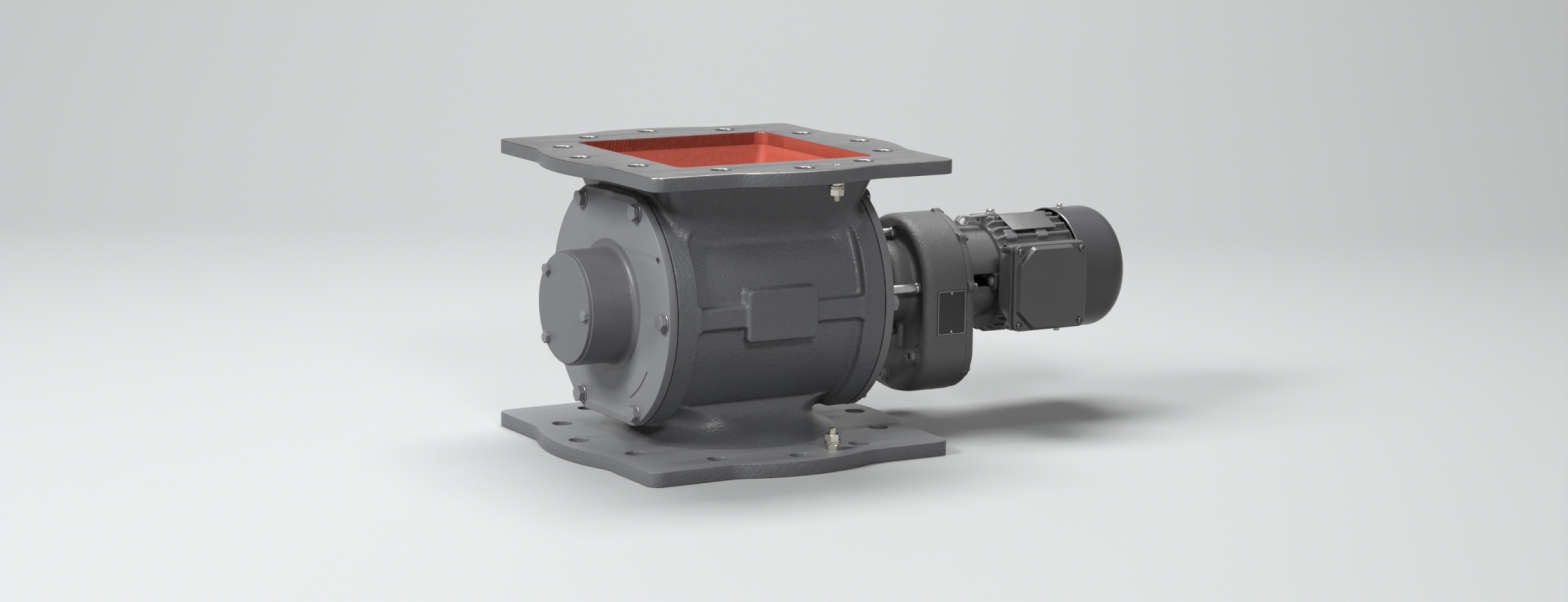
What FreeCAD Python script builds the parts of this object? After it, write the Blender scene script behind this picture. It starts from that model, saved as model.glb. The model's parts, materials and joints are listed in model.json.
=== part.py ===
import FreeCAD, Part
import math
import os
import re

import Sketcher

# Rotary airlock valve with an inline gear motor. Millimetres, +Z up.
# X runs along the rotor's axis towards the drive, the terminal box is on the -Y side, and the
# origin is the centre of the outlet flange's underside.

SIZES = [
    ("body_length", 300, "housing over its two end faces"),
    ("flange_side", 433, "square part of both flanges"),
    ("flange_round", 474, "diameter of the round part of both flanges"),
    ("flange_corner", 16, "corner radius of the flanges"),
    ("outlet_flange", 19, "thickness of the outlet flange"),
    ("inlet_flange", 18, "thickness of the inlet flange"),
    ("outlet_gap", 26, "outlet flange to the flats of the end bands"),
    ("inlet_gap", 27, "flats of the end bands to the inlet flange"),
    ("bolt_circle", 410, "bolt circle of both flanges"),
    ("bolt_hole", 26, "hole diameter on the bolt circle"),
    ("bolt_holes", 12, "holes on the bolt circle"),
    ("bore_radius", 136, "rotor bore"),
    ("barrel_wall", 12, "wall of the barrel between its end bands"),
    ("band_wall", 24, "end bands and end covers over the bore"),
    ("band_width", 30, "width of an end band"),
    ("flat_depth", 15, "flats of the bands and covers below their full radius"),
    ("inlet_margin", 10, "inlet opening at the flange face to the plane of a housing end"),
    ("inlet_corner", 9, "corner radius of the inlet opening"),
    ("throat_margin", 38, "inlet throat to a housing end"),
    ("throat_width", 214, "inlet throat across the axis"),
    ("throat_rise", 95, "rotor axis to the height at which the inlet walls start to lean"),
    ("neck_rise", 90, "rotor axis to the height at which the inlet neck leaves the barrel"),
    ("neck_wall", 11, "wall of the inlet neck"),
    ("neck_corner", 26, "outer corner radius of the inlet neck"),
    ("outlet_bore", 250, "round outlet opening"),
    ("outlet_margin", 48, "outlet slot in the barrel to a housing end"),
    ("outlet_width", 150, "outlet slot in the barrel across the axis"),
    ("outlet_drop", 123, "rotor axis to the height at which the outlet neck leaves the barrel"),
    ("outlet_wall", 9, "wall of the outlet neck"),
    ("outlet_corner", 14, "corner radius of the outlet slot"),
    ("outlet_root", 296, "diameter of the outlet neck where it meets the flange"),
    ("pad_length", 101, "side pad along the axis"),
    ("pad_height", 66, "side pad upright"),
    ("pad_proud", 13, "face of the side pad over the barrel"),
    ("pad_corner", 7, "corner radius of the side pad"),
    ("rib_height", 26.5, "horizontal side rib upright"),
    ("rib_proud", 9.5, "face of the side rib over the barrel"),
    ("gasket", 0.8, "thickness of the cover gaskets"),
    ("cover_plate", 12.2, "thickness of an end cover's plate"),
    ("spigot", 4, "depth of the covers' spigots in the bore"),
    ("cover_bolt_wall", 11, "bore to the middle of the end cover bolts"),
    ("cover_bolt", 12, "shank diameter of the end cover bolts"),
    ("cover_bolt_flats", 19, "across flats of the end cover bolts"),
    ("cover_bolt_head", 7.5, "head height of the end cover bolts"),
    ("cover_washer", 24, "outside of the end cover washers"),
    ("washer_thick", 2, "thickness of the end cover washers"),
    ("jacking_hole", 8.5, "tapped jacking hole in the covers"),
    ("boss_radius", 73, "outside of the outboard bearing boss"),
    ("boss_length", 61, "outboard boss from the cover's plate"),
    ("drive_boss_radius", 55, "outside of the drive side bearing boss"),
    ("drive_boss_length", 40, "drive side boss from the cover's plate"),
    ("cap_radius", 70, "bearing cap plate"),
    ("cap_thick", 4, "thickness of the bearing cap plate"),
    ("cap_screw_circle", 124, "circle of the cap screws"),
    ("cap_screw", 8, "diameter of the cap screws"),
    ("shaft_radius", 27.5, "rotor shaft in the hub and seals"),
    ("journal_radius", 25, "rotor shaft in its bearings"),
    ("drive_end_radius", 19, "rotor shaft in the gear unit's sleeve"),
    ("bearing_radius", 45, "outside of the rotor bearings"),
    ("bearing_width", 20, "width of the rotor bearings"),
    ("bearing_recess", 4, "boss face to bearing"),
    ("seal_radius", 40, "outside of the shaft seals"),
    ("seal_width", 10, "width of the shaft seals"),
    ("vane_count", 8, "vanes of the rotor"),
    ("vane_thick", 7, "thickness of a vane"),
    ("vane_gap", 0.35, "running gap at the vane tips and ends"),
    ("hub_radius", 44, "outside of the rotor hub"),
    ("running_gap", 0.3, "gap between pieces that turn against each other"),
    ("fit_gap", 0.05, "clearance of screws and seats that do not turn"),
    ("stud_circle", 404, "circle of the earthing studs"),
    ("stud_angle", 75, "angle of the earthing studs from +X towards -Y"),
    ("stud_diameter", 10, "earthing studs"),
    ("stud_flats", 17, "across flats of the earthing nuts"),
    ("stud_length", 28, "earthing stud proud of its flange"),
    ("rod_circle", 130, "circle of the four stand-off rods"),
    ("rod_radius", 6.5, "stand-off rods"),
    ("rod_spigot", 4, "radius of the threaded rod ends"),
    ("dome_gap", 25, "drive side boss to the gear unit's output hub"),
    ("dome_length", 34, "output hub proud of the recess floor"),
    ("recess_depth", 8, "front recess of the gear case"),
    ("case_length", 59, "recess floor to the joint with the rear cover"),
    ("rear_cover", 11, "thickness of the gear case's rear cover"),
    ("case_radius", 90, "half width and top radius of the gear case"),
    ("case_drop", 148, "rotor axis to the underside of the gear case"),
    ("cut_drop", 108, "rotor axis to the start of the gear case's lower corners"),
    ("case_wall", 7, "wall of the gear case"),
    ("rim_round", 12, "rounding of the gear case's front rim"),
    ("recess_radius", 75, "front recess of the gear case"),
    ("recess_drop", 90, "rotor axis to the lowest point of the front recess"),
    ("dome_radius", 57, "output bearing hub on the gear case"),
    ("plug_radius", 8.5, "head of an oil plug"),
    ("plug_head", 6, "height of an oil plug's head"),
    ("plug_stem", 15, "oil plug under its head"),
    ("small_screw", 5, "case, fan cover and lid screws"),
    ("small_flats", 8, "across flats of the case and fan cover screws"),
    ("nameplate_length", 44, "gear unit's nameplate along the axis"),
    ("nameplate_height", 59, "gear unit's nameplate upright"),
    ("nameplate_drop", 31.5, "rotor axis to the middle of the nameplate"),
    ("plate_thick", 0.8, "thickness of the nameplate"),
    ("key_length", 45, "coupling key"),
    ("key_width", 10, "width of the coupling key"),
    ("key_height", 8, "height of the coupling key"),
    ("shaft_drop", 72, "rotor axis to layshaft axis"),
    ("sleeve_radius", 27.5, "hollow output sleeve"),
    ("output_module", 2.25, "module of the layshaft pinion and the output gear"),
    ("motor_module", 2.0, "module of the motor pinion and the layshaft gear"),
    ("gear_spacing", 7, "output gear to layshaft gear"),
    ("output_teeth", 52, "teeth of the output gear"),
    ("lay_pinion_teeth", 12, "teeth of the layshaft pinion"),
    ("motor_pinion_teeth", 12, "teeth of the motor pinion"),
    ("gear_backlash", 0.24, "play between meshing teeth"),
    ("output_gear_width", 18, "face width of the output gear"),
    ("lay_gear_width", 12, "face width of the layshaft gear"),
    ("lay_bearing_radius", 17.5, "outside of the layshaft bearings"),
    ("lay_bearing_bore", 8.5, "bore of the layshaft bearings"),
    ("lay_bearing_width", 8, "width of the layshaft bearings"),
    ("adapter_radius", 66, "motor adapter"),
    ("adapter_neck", 56, "lower part of the motor adapter"),
    ("adapter_length", 60, "motor adapter along the axis"),
    ("adapter_window", 30, "side windows of the motor adapter along the axis"),
    ("window_height", 17, "side windows of the motor adapter upright"),
    ("lug_length", 13, "bolt lugs of the motor adapter along the axis"),
    ("lug_width", 16, "bolt lugs of the motor adapter across"),
    ("lug_height", 22, "bolt lugs of the motor adapter upright"),
    ("motor_length", 117, "motor frame along the axis"),
    ("frame_radius", 71, "motor frame under its fins"),
    ("fin_reach", 78, "fin tips from the motor's axis"),
    ("fin_thick", 2.6, "thickness of a fin"),
    ("fin_step", 12, "angle between fins"),
    ("stator_radius", 63, "stator core"),
    ("air_gap_radius", 38, "bore of the stator core"),
    ("core_length", 72, "stator and rotor cores"),
    ("motor_shaft_radius", 10, "motor shaft in its bearings"),
    ("motor_bearing_radius", 23.5, "outside of the motor bearings"),
    ("motor_bearing_width", 14, "width of the motor bearings"),
    ("box_side", 114, "terminal box lid"),
    ("box_offset", 26, "motor's front face to the middle of the terminal box"),
    ("box_rise", 2, "middle of the terminal box above the axis"),
    ("lid_face", 142, "face of the lid's flange from the axis"),
    ("lid_thick", 9, "thickness of the lid"),
    ("lid_panel", 2.5, "raised panel on the lid"),
    ("box_wall", 4, "wall of the terminal box"),
    ("box_gasket", 1, "gasket under the lid"),
    ("fan_cover_radius", 82, "fan cover"),
    ("fan_cover_length", 81, "fan cover behind the motor frame"),
    ("fan_bend", 26, "rounding of the fan cover's rear edge"),
    ("slot_width", 6, "ring slots of the fan cover's grille"),
    ("sheet_metal", 1.5, "sheet of the fan cover"),
    ("fan_radius", 62, "cooling fan"),
    ("fan_hub_radius", 17, "hub of the cooling fan"),
    ("fan_hub_length", 22, "hub of the cooling fan along the axis"),
    ("blade_length", 18, "blades of the cooling fan along the axis"),
    ("blade_thick", 2.4, "blades of the cooling fan"),
]

# Places that follow from the sheet, as formulas of its sizes; each may use those above it
JOINT = "(body_length / 2 + gasket)"
COVER_FACE = f"({JOINT} + cover_plate)"
DERIVED = {
    "barrel_radius": "bore_radius + barrel_wall",
    "band_radius": "bore_radius + band_wall",
    "band_flat": "band_radius - flat_depth",
    "pad_reach": "barrel_radius + pad_proud",
    "rib_reach": "barrel_radius + rib_proud",
    "cover_circle": "2 * (bore_radius + cover_bolt_wall)",
    "inlet_side": "body_length - 2 * inlet_margin",
    "throat_length": "body_length - 2 * throat_margin",
    "outlet_length": "body_length - 2 * outlet_margin",
    "axis_height": "outlet_flange + outlet_gap + band_flat",
    "total_height": "axis_height + band_flat + inlet_gap + inlet_flange",
    "throat_height": "axis_height + throat_rise",
    "neck_crease": "axis_height + neck_rise",
    "outlet_crease": "axis_height - outlet_drop",
    "boss_end": f"{COVER_FACE} + boss_length",
    "drive_boss_end": f"{COVER_FACE} + drive_boss_length",
    "dome_front": "drive_boss_end + dome_gap",
    "case_floor": "dome_front + dome_length",
    "case_rim": "case_floor - recess_depth",
    "case_seam": "case_floor + case_length",
    "case_back": "case_seam + rear_cover",
    "case_bottom": "axis_height - case_drop",
    "case_cut": "axis_height - cut_drop",
    "recess_bottom": "axis_height - recess_drop",
    "motor_front": "case_back + adapter_length",
    "motor_back": "motor_front + motor_length",
    "box_centre": "motor_front + box_offset",
    "fan_cover_back": "motor_back + fan_cover_length",
}

ALIASES = "|".join(alias for alias, _, _ in SIZES)
FOLLOWING = "|".join(DERIVED)
doc = FreeCAD.newDocument("rotary_airlock_valve")
sheet = doc.addObject("Spreadsheet::Sheet", "dims")
for row, (alias, value, meaning) in enumerate(SIZES, 1):
    sheet.set(f"A{row}", meaning)
    sheet.set(f"B{row}", str(value))
    sheet.setAlias(f"B{row}", alias)
doc.recompute()

TURN = {
    "x": FreeCAD.Rotation(FreeCAD.Vector(0, 1, 0), 90),
    "-x": FreeCAD.Rotation(FreeCAD.Vector(0, 1, 0), -90),
    "y": FreeCAD.Rotation(FreeCAD.Vector(1, 0, 0), -90),
    "-y": FreeCAD.Rotation(FreeCAD.Vector(1, 0, 0), 90),
    "z": FreeCAD.Rotation(),
    "-z": FreeCAD.Rotation(FreeCAD.Vector(1, 0, 0), 180),
}

SPIGOT_END = "(body_length / 2 - spigot)"
LAY_HEIGHT = "(axis_height - shaft_drop)"
SLEEVE_FRONT = "(dome_front - 2)"
OUTPUT_BEARING = "(bearing_width - 2)"
CAVITY = "(case_floor + 9)"
OUTPUT_GEAR = f"({CAVITY} + 8)"
LAY_FRONT = f"({CAVITY} + 6 - lay_bearing_width)"
LAY_GEAR = f"({OUTPUT_GEAR} + output_gear_width + gear_spacing)"
CORE_START = "((motor_front + motor_back - core_length) / 2)"
BOX_HEIGHT = "(axis_height + box_rise)"
KEY_FLOOR = "(axis_height + drive_end_radius - 5)"
NAMEPLATE_X = "(case_seam - 25)"
NAMEPLATE_Z = "(axis_height - nameplate_drop)"
CAP_ANGLES = (0, 135, 225)

parts = {}


def tie(formula):
    """A formula of sizes as an expression that reads the sheet."""
    text = str(formula)
    while re.search(rf"\b({FOLLOWING})\b", text):
        text = re.sub(rf"\b({FOLLOWING})\b", lambda found: f"({DERIVED[found[0]]})", text)
    return re.sub(rf"\b({ALIASES})\b", r"dims.\1", text)


def size(formula):
    """A formula of sizes worked out with the sheet's numbers."""
    return float(sheet.evalExpression(tie(formula)))


def place(obj, at, axis="z"):
    """Turns an object's local Z to the axis and ties its position to the sheet."""
    obj.Placement = FreeCAD.Placement(FreeCAD.Vector(), TURN[axis])
    for letter, formula in zip("xyz", at):
        obj.setExpression(f"Placement.Base.{letter}", tie(formula))
    return obj


def cylinder(name, radius, height, at, axis="x"):
    obj = doc.addObject("Part::Cylinder", name)
    obj.setExpression("Radius", tie(radius))
    obj.setExpression("Height", tie(height))
    return place(obj, at, axis)


def cone(name, radius, end_radius, height, at, axis="x"):
    obj = doc.addObject("Part::Cone", name)
    obj.setExpression("Radius1", tie(radius))
    obj.setExpression("Radius2", tie(end_radius))
    obj.setExpression("Height", tie(height))
    return place(obj, at, axis)


def box(name, lengths, at):
    """Box from its lowest corner."""
    obj = doc.addObject("Part::Box", name)
    for prop, formula in zip(("Length", "Width", "Height"), lengths):
        obj.setExpression(prop, tie(formula))
    return place(obj, at)


def leaning_box(name, lengths, at, angle):
    """Box turned by an angle about the rotor's axis; at is its corner from that axis, before the turn."""
    obj = box(name, lengths, ("0", "0", "0"))
    obj.Placement = FreeCAD.Placement(FreeCAD.Vector(), FreeCAD.Rotation(FreeCAD.Vector(1, 0, 0), angle))
    x, y, z = at
    obj.setExpression("Placement.Base.x", tie(x))
    obj.setExpression("Placement.Base.y", tie(f"({y}) * cos({angle}) - ({z}) * sin({angle})"))
    obj.setExpression("Placement.Base.z", tie(f"axis_height + ({y}) * sin({angle}) + ({z}) * cos({angle})"))
    return obj


def centred_box(name, lengths, centre):
    """Box about its centre."""
    corner = [f"({c}) - ({length}) / 2" for c, length in zip(centre, lengths)]
    return box(name, lengths, corner)


def hexagon(name, flats, height, at, axis="x"):
    """Hexagonal prism of a given width across flats."""
    obj = doc.addObject("Part::Prism", name)
    obj.Polygon = 6
    obj.setExpression("Circumradius", tie(f"({flats}) / 2 / cos(30)"))
    obj.setExpression("Height", tie(height))
    return place(obj, at, axis)


def fuse(name, *pieces):
    obj = doc.addObject("Part::MultiFuse", name)
    obj.Shapes = list(pieces)
    return obj


def cut(name, base, *tools):
    obj = doc.addObject("Part::Cut", name)
    obj.Base = base
    obj.Tool = tools[0] if len(tools) == 1 else fuse(name + "_tools", *tools)
    return obj


def common(name, first, second):
    obj = doc.addObject("Part::Common", name)
    obj.Base = first
    obj.Tool = second
    return obj


def group(name, pieces):
    """Separate solids that share one node."""
    obj = doc.addObject("Part::Compound", name)
    obj.Links = list(pieces)
    return obj


def shaped(name, shape):
    """An object that holds a shape worked out from the sheet's numbers."""
    obj = doc.addObject("Part::Feature", name)
    obj.Shape = shape
    return obj


def round_edges(name, base, radius, chosen):
    """Rounds the edges that the test picks."""
    doc.recompute()
    obj = doc.addObject("Part::Fillet", name)
    obj.Base = base
    obj.Edges = [(i, radius, radius) for i, edge in enumerate(base.Shape.Edges, 1) if chosen(edge)]
    return obj


def along(axis):
    """Test for straight edges that run along an axis (0, 1 or 2)."""
    def chosen(edge):
        lengths = (edge.BoundBox.XLength, edge.BoundBox.YLength, edge.BoundBox.ZLength)
        others = [length for i, length in enumerate(lengths) if i != axis]
        return lengths[axis] > 0.1 and max(others) < 1e-4
    return chosen


def in_plane(axis, place_on_axis):
    """Test for edges that lie in a plane square to an axis."""
    def chosen(edge):
        bounds = edge.BoundBox
        low = (bounds.XMin, bounds.YMin, bounds.ZMin)[axis]
        high = (bounds.XMax, bounds.YMax, bounds.ZMax)[axis]
        return abs(low - place_on_axis) < 1e-3 and abs(high - place_on_axis) < 1e-3
    return chosen


def keep(name, obj):
    """Takes an object as a finished sub-part."""
    obj.Label = name
    parts[name] = obj
    return obj


def sketch_in(body, plane, name, shift_up="0", along_normal="0"):
    """Sketch on one of the body's own origin planes, moved up and along the plane's normal."""
    sketch = body.newObject("Sketcher::SketchObject", name)
    origin_plane = [f for f in body.Origin.OriginFeatures if f.Role == plane][0]
    sketch.AttachmentSupport = [(origin_plane, "")]
    sketch.MapMode = "FlatFace"
    sketch.setExpression("AttachmentOffset.Base.y", tie(shift_up))
    sketch.setExpression("AttachmentOffset.Base.z", tie(along_normal))
    return sketch


def polygon(sketch, corners):
    """Closed polygon in a sketch, each corner tied to the sheet by two distances."""
    count = len(corners)
    ring = [FreeCAD.Vector(math.cos(2 * math.pi * i / count), math.sin(2 * math.pi * i / count), 0)
            for i in range(count)]
    for i in range(count):
        sketch.addGeometry(Part.LineSegment(ring[i], ring[(i + 1) % count]), False)
    for i in range(count):
        sketch.addConstraint(Sketcher.Constraint("Coincident", i, 2, (i + 1) % count, 1))
    for i, corner in enumerate(corners):
        for kind, formula, start in zip(("DistanceX", "DistanceY"), corner, (ring[i].x, ring[i].y)):
            index = sketch.addConstraint(Sketcher.Constraint(kind, -1, 1, i, 1, start))
            sketch.setExpression(f"Constraints[{index}]", tie(formula))


def turned(name, profile, centre_z="axis_height"):
    """Solid of revolution about an axis along X; the profile lists (x, radius)."""
    body = doc.addObject("PartDesign::Body", name)
    sketch = sketch_in(body, "XZ_Plane", name + "_profile", centre_z)
    polygon(sketch, profile)
    revolution = body.newObject("PartDesign::Revolution", name + "_turned")
    revolution.Profile = sketch
    revolution.ReferenceAxis = (sketch, ["H_Axis"])
    revolution.Angle = 360
    body.Tip = revolution
    return body


def prism(name, plane, corners, start, length, centre_up="0"):
    """Straight pad of a polygon from a plane at start, along that plane's normal."""
    body = doc.addObject("PartDesign::Body", name)
    sketch = sketch_in(body, plane, name + "_outline", centre_up, start)
    polygon(sketch, corners)
    pad = body.newObject("PartDesign::Pad", name + "_pad")
    pad.Profile = sketch
    pad.setExpression("Length", tie(length))
    body.Tip = pad
    return body


def on_circle(circle, angle, centre_z="axis_height"):
    """(y, z) on a circle about an X axis; angle 0 is towards -Y, 90 is up."""
    return f"-({circle}) / 2 * cos({angle})", f"({centre_z}) + ({circle}) / 2 * sin({angle})"


def around(name, circle, angles, radius, start, length, axis="x", centre_z="axis_height"):
    """Cylinders along X on a circle."""
    return [cylinder(f"{name}_{i}", radius, length, (start, *on_circle(circle, a, centre_z)), axis)
            for i, a in enumerate(angles)]


def tube(name, outer, inner, start, length, centre_z="axis_height"):
    """Plain ring about an X axis."""
    end = f"({start}) + ({length})"
    return turned(name, [(start, inner), (start, outer), (end, outer), (end, inner)], centre_z)


def rounded_wire(half_x, half_y, corner, height):
    """Rounded rectangle in a level plane, as four lines and four arcs."""
    edges = []
    corner = min(corner, half_x - 0.2, half_y - 0.2)
    centres = [(half_x - corner, half_y - corner), (corner - half_x, half_y - corner),
               (corner - half_x, corner - half_y), (half_x - corner, corner - half_y)]
    points = []
    for quarter, (cx, cy) in enumerate(centres):
        for step in range(3):
            angle = math.pi / 2 * (quarter + step / 2)
            across, up = corner * math.cos(angle), corner * math.sin(angle)
            points.append(FreeCAD.Vector(cx + across, cy + up, height))
    for quarter in range(4):
        first, middle, last = points[3 * quarter:3 * quarter + 3]
        edges.append(Part.Arc(first, middle, last).toShape())
        edges.append(Part.LineSegment(last, points[(3 * quarter + 3) % 12]).toShape())
    return Part.Wire(edges)


def flange(name, thickness, low):
    """Square plate with round bulges on its four sides."""
    half = "-flange_side / 2"
    plate = box(name + "_plate", ("flange_side", "flange_side", thickness), (half, half, low))
    rounded = round_edges(name + "_corners", plate, size("flange_corner"), along(2))
    disc = cylinder(name + "_disc", "flange_round / 2", thickness, ("0", "0", low), "z")
    return fuse(name, rounded, disc)


def inlet_sections(wall):
    """Half sizes and heights of the inlet neck: (half_x, half_y, height)."""
    top = size("total_height") - size("inlet_flange")
    half_top = size("inlet_side") / 2
    half_x = size("throat_length") / 2
    half_y = size("throat_width") / 2
    throat = size("throat_height")
    bore_level = size("axis_height") + size("vane_gap")
    if wall == 0:
        return [(half_x, half_y, bore_level), (half_x, half_y, throat), (half_top - 1, half_top - 1, top),
                (half_top, half_top, top + 1), (half_top, half_top, size("total_height") + 1)]
    lean = 0.84
    near_top = top - 14
    part_x = half_x + wall + lean * (half_top - half_x - 2)
    part_y = half_y + wall + lean * (half_top - half_y - 2)
    crease = size("neck_crease")
    return [(half_x + wall, half_y + wall, crease - 40), (half_x + wall, half_y + wall, crease),
            (part_x, part_y, near_top), (half_top + wall - 2, half_top + wall - 2, top + 1)]


def outlet_sections(wall):
    """Outlet neck from a rectangle to a circle: (half_x, half_y, corner, height)."""
    half_x = size("outlet_length") / 2 + wall
    half_y = size("outlet_width") / 2 + wall
    crease = size("outlet_crease")
    if wall == 0:
        end = size("outlet_bore") / 2
        low = -1
    else:
        end = size("outlet_root") / 2
        low = size("outlet_flange") - 1
    sharp = size("outlet_corner")
    sections = [(half_x, half_y, sharp, crease + 30)]
    for step in (0, 0.3, 0.6, 0.85, 1):
        spread = step ** 2.2
        corner = sharp + (end - sharp) * min(1, step * 1.15)
        sections.append((half_x + (end - half_x) * spread, half_y + (end - half_y) * spread, corner,
                         crease + (low - crease) * step))
    return sections


def housing():
    """The casting: banded barrel, two necks, two flanges, side pads and ribs, all holes cut last."""
    half = "body_length / 2"
    inner = "(body_length / 2 - band_width)"
    foot = 2.5
    barrel = turned("housing_barrel", [
        (f"-{half}", "bore_radius - 4"), (f"-{half}", "band_radius"), (f"-{inner}", "band_radius"),
        (f"-{inner}", f"barrel_radius + {foot}"), (f"-{inner} + {foot}", "barrel_radius"),
        (f"{inner} - {foot}", "barrel_radius"), (inner, f"barrel_radius + {foot}"),
        (inner, "band_radius"), (half, "band_radius"), (half, "bore_radius - 4")])
    flats = centred_box("housing_flats", ("body_length + 10", "3 * band_radius", "2 * band_flat"),
                        ("0", "0", "axis_height"))
    flatted = common("housing_flatted", barrel, flats)
    inlet_outside = [rounded_wire(x, y, size("neck_corner"), z)
                     for x, y, z in inlet_sections(size("neck_wall"))]
    inlet_neck = shaped("inlet_neck", Part.makeLoft(inlet_outside, True, True))
    outlet_outside = [rounded_wire(*section) for section in outlet_sections(size("outlet_wall"))]
    outlet_neck = shaped("outlet_neck", Part.makeLoft(outlet_outside, True, False))
    pieces = [flatted, inlet_neck, outlet_neck,
              flange("outlet_flange_plate", "outlet_flange", "0"),
              flange("inlet_flange_plate", "inlet_flange", "total_height - inlet_flange")]
    root = "(bore_radius + 4)"
    for side, sign in (("near", -1), ("far", 1)):
        depth = f"(pad_reach - {root})"
        pad = centred_box(f"{side}_pad", ("pad_length", depth, "pad_height"),
                          ("0", f"{sign} * ({root} + {depth} / 2)", "axis_height"))
        pieces.append(round_edges(f"{side}_pad_rounded", pad, size("pad_corner"), along(1)))
        depth = f"(rib_reach - {root})"
        pieces.append(centred_box(f"{side}_rib", ("body_length - band_width", depth, "rib_height"),
                                  ("0", f"{sign} * ({root} + {depth} / 2)", "axis_height")))
    casting = fuse("housing_casting", *pieces)
    inlet_inside = [rounded_wire(x, y, size("inlet_corner"), z) for x, y, z in inlet_sections(0)]
    outlet_inside = [rounded_wire(*section) for section in outlet_sections(0)]
    tools = [shaped("inlet_passage", Part.makeLoft(inlet_inside, True, True)),
             shaped("outlet_passage", Part.makeLoft(outlet_inside, True, False)),
             cylinder("housing_bore", "bore_radius", "body_length + 2", (f"-{half} - 1", "0", "axis_height"))]
    holes = int(size("bolt_holes"))
    for name, low, thickness in (("outlet", "0", "outlet_flange"),
                                 ("inlet", "total_height - inlet_flange", "inlet_flange")):
        start = f"{low} - 1"
        through = f"{thickness} + 2"
        tools.append(cylinder(f"{name}_stud_hole", "stud_diameter / 2", through, (*stud_place(), start), "z"))
        for step in range(holes):
            angle = 360 * step / holes
            at = (f"bolt_circle / 2 * cos({angle})", f"bolt_circle / 2 * sin({angle})", start)
            tools.append(cylinder(f"{name}_hole_{step}", "bolt_hole / 2", through, at, "z"))
    for side, sign, axis in (("outboard", -1, "x"), ("drive", 1, "-x")):
        tools += around(f"{side}_thread", "cover_circle", range(0, 360, 60), "cover_bolt / 2",
                        f"{sign} * ({half} + 1)", "26", axis)
    keep("housing", cut("housing", casting, *tools))


def stud_place():
    """(x, y) of the earthing studs."""
    return "stud_circle / 2 * cos(stud_angle)", "-stud_circle / 2 * sin(stud_angle)"


def end_cover(side, sign, boss_radius, boss_end, root):
    """Flanged cover with spigot, seal seat and bearing boss; root is the fillet at the boss's foot."""
    seat = f"({boss_end} - bearing_recess - bearing_width)"
    seal_end = f"({COVER_FACE} + 2)"
    seal_start = f"({seal_end} - seal_width)"
    through = "(shaft_radius + 1)"
    profile = [
        (SPIGOT_END, through), (SPIGOT_END, "bore_radius - fit_gap"), (JOINT, "bore_radius - fit_gap"),
        (JOINT, "band_radius"), (COVER_FACE, "band_radius"), (COVER_FACE, f"{boss_radius} + {root}"),
        (f"{COVER_FACE} + {root} * 0.28", f"{boss_radius} + {root} * 0.45"),
        (f"{COVER_FACE} + {root} * 0.9", f"{boss_radius} + {root} * 0.13"),
        (f"{boss_end} - 1", boss_radius), (boss_end, f"{boss_radius} - 1"),
        (boss_end, "bearing_radius"), (seat, "bearing_radius"), (seat, "seal_radius"),
        (seal_start, "seal_radius"), (seal_start, through)]
    body = turned(f"{side}_cover_turned", [(f"{sign} * {x}", r) for x, r in profile])
    flats = centred_box(f"{side}_cover_flats", ("3 * boss_end", "3 * band_radius", "2 * band_flat"),
                        ("0", "0", "axis_height"))
    flatted = common(f"{side}_cover_flatted", body, flats)
    start = f"{sign} * (body_length / 2)"
    axis = "x" if sign > 0 else "-x"
    tools = around(f"{side}_bolt_hole", "cover_circle", range(0, 360, 60), "cover_bolt / 2 + 0.5", start,
                   "cover_plate + 4", axis)
    tools += around(f"{side}_jacking_hole", "cover_circle", (30, 210), "jacking_hole / 2", start,
                    "cover_plate + 4", axis)
    if sign > 0:
        tools += around("rod_cover_hole", "rod_circle", range(0, 360, 90), "rod_spigot",
                        f"{COVER_FACE} - 9", "12", axis)
    else:
        tools += around("cap_screw_hole", "cap_screw_circle", CAP_ANGLES, "cap_screw / 2",
                        f"-({boss_end} - 15)", "16", axis)
    keep(f"{side}_cover", cut(f"{side}_cover", flatted, *tools))
    ring = tube(f"{side}_gasket_ring", "band_radius", "bore_radius", start, f"{sign} * gasket")
    gasket_flats = common(f"{side}_gasket_flatted", ring, flats)
    holes = around(f"{side}_gasket_hole", "cover_circle", range(0, 360, 30), "cover_bolt / 2 + 0.5",
                   start, "3", axis)
    keep(f"{side}_gasket", cut(f"{side}_gasket", gasket_flats, *holes))


def hex_screw(name, at, axis, flats, head, shank, length):
    """Hexagon head screw; the head sits on the given point and the shank runs back from it."""
    back = axis[1:] if axis.startswith("-") else "-" + axis
    washer_face = cylinder(name + "_face", f"({flats}) * 0.47", "0.6", at, axis)
    sign = "-" if axis.startswith("-") else "+"
    letter = axis[-1]
    raised = [f"({c}) {sign} 0.6" if i == "xyz".index(letter) else c for i, c in enumerate(at)]
    top = hexagon(name + "_head", flats, f"({head}) - 0.6", raised, axis)
    return fuse(name, top, washer_face, cylinder(name + "_shank", shank, length, at, back))


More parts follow.
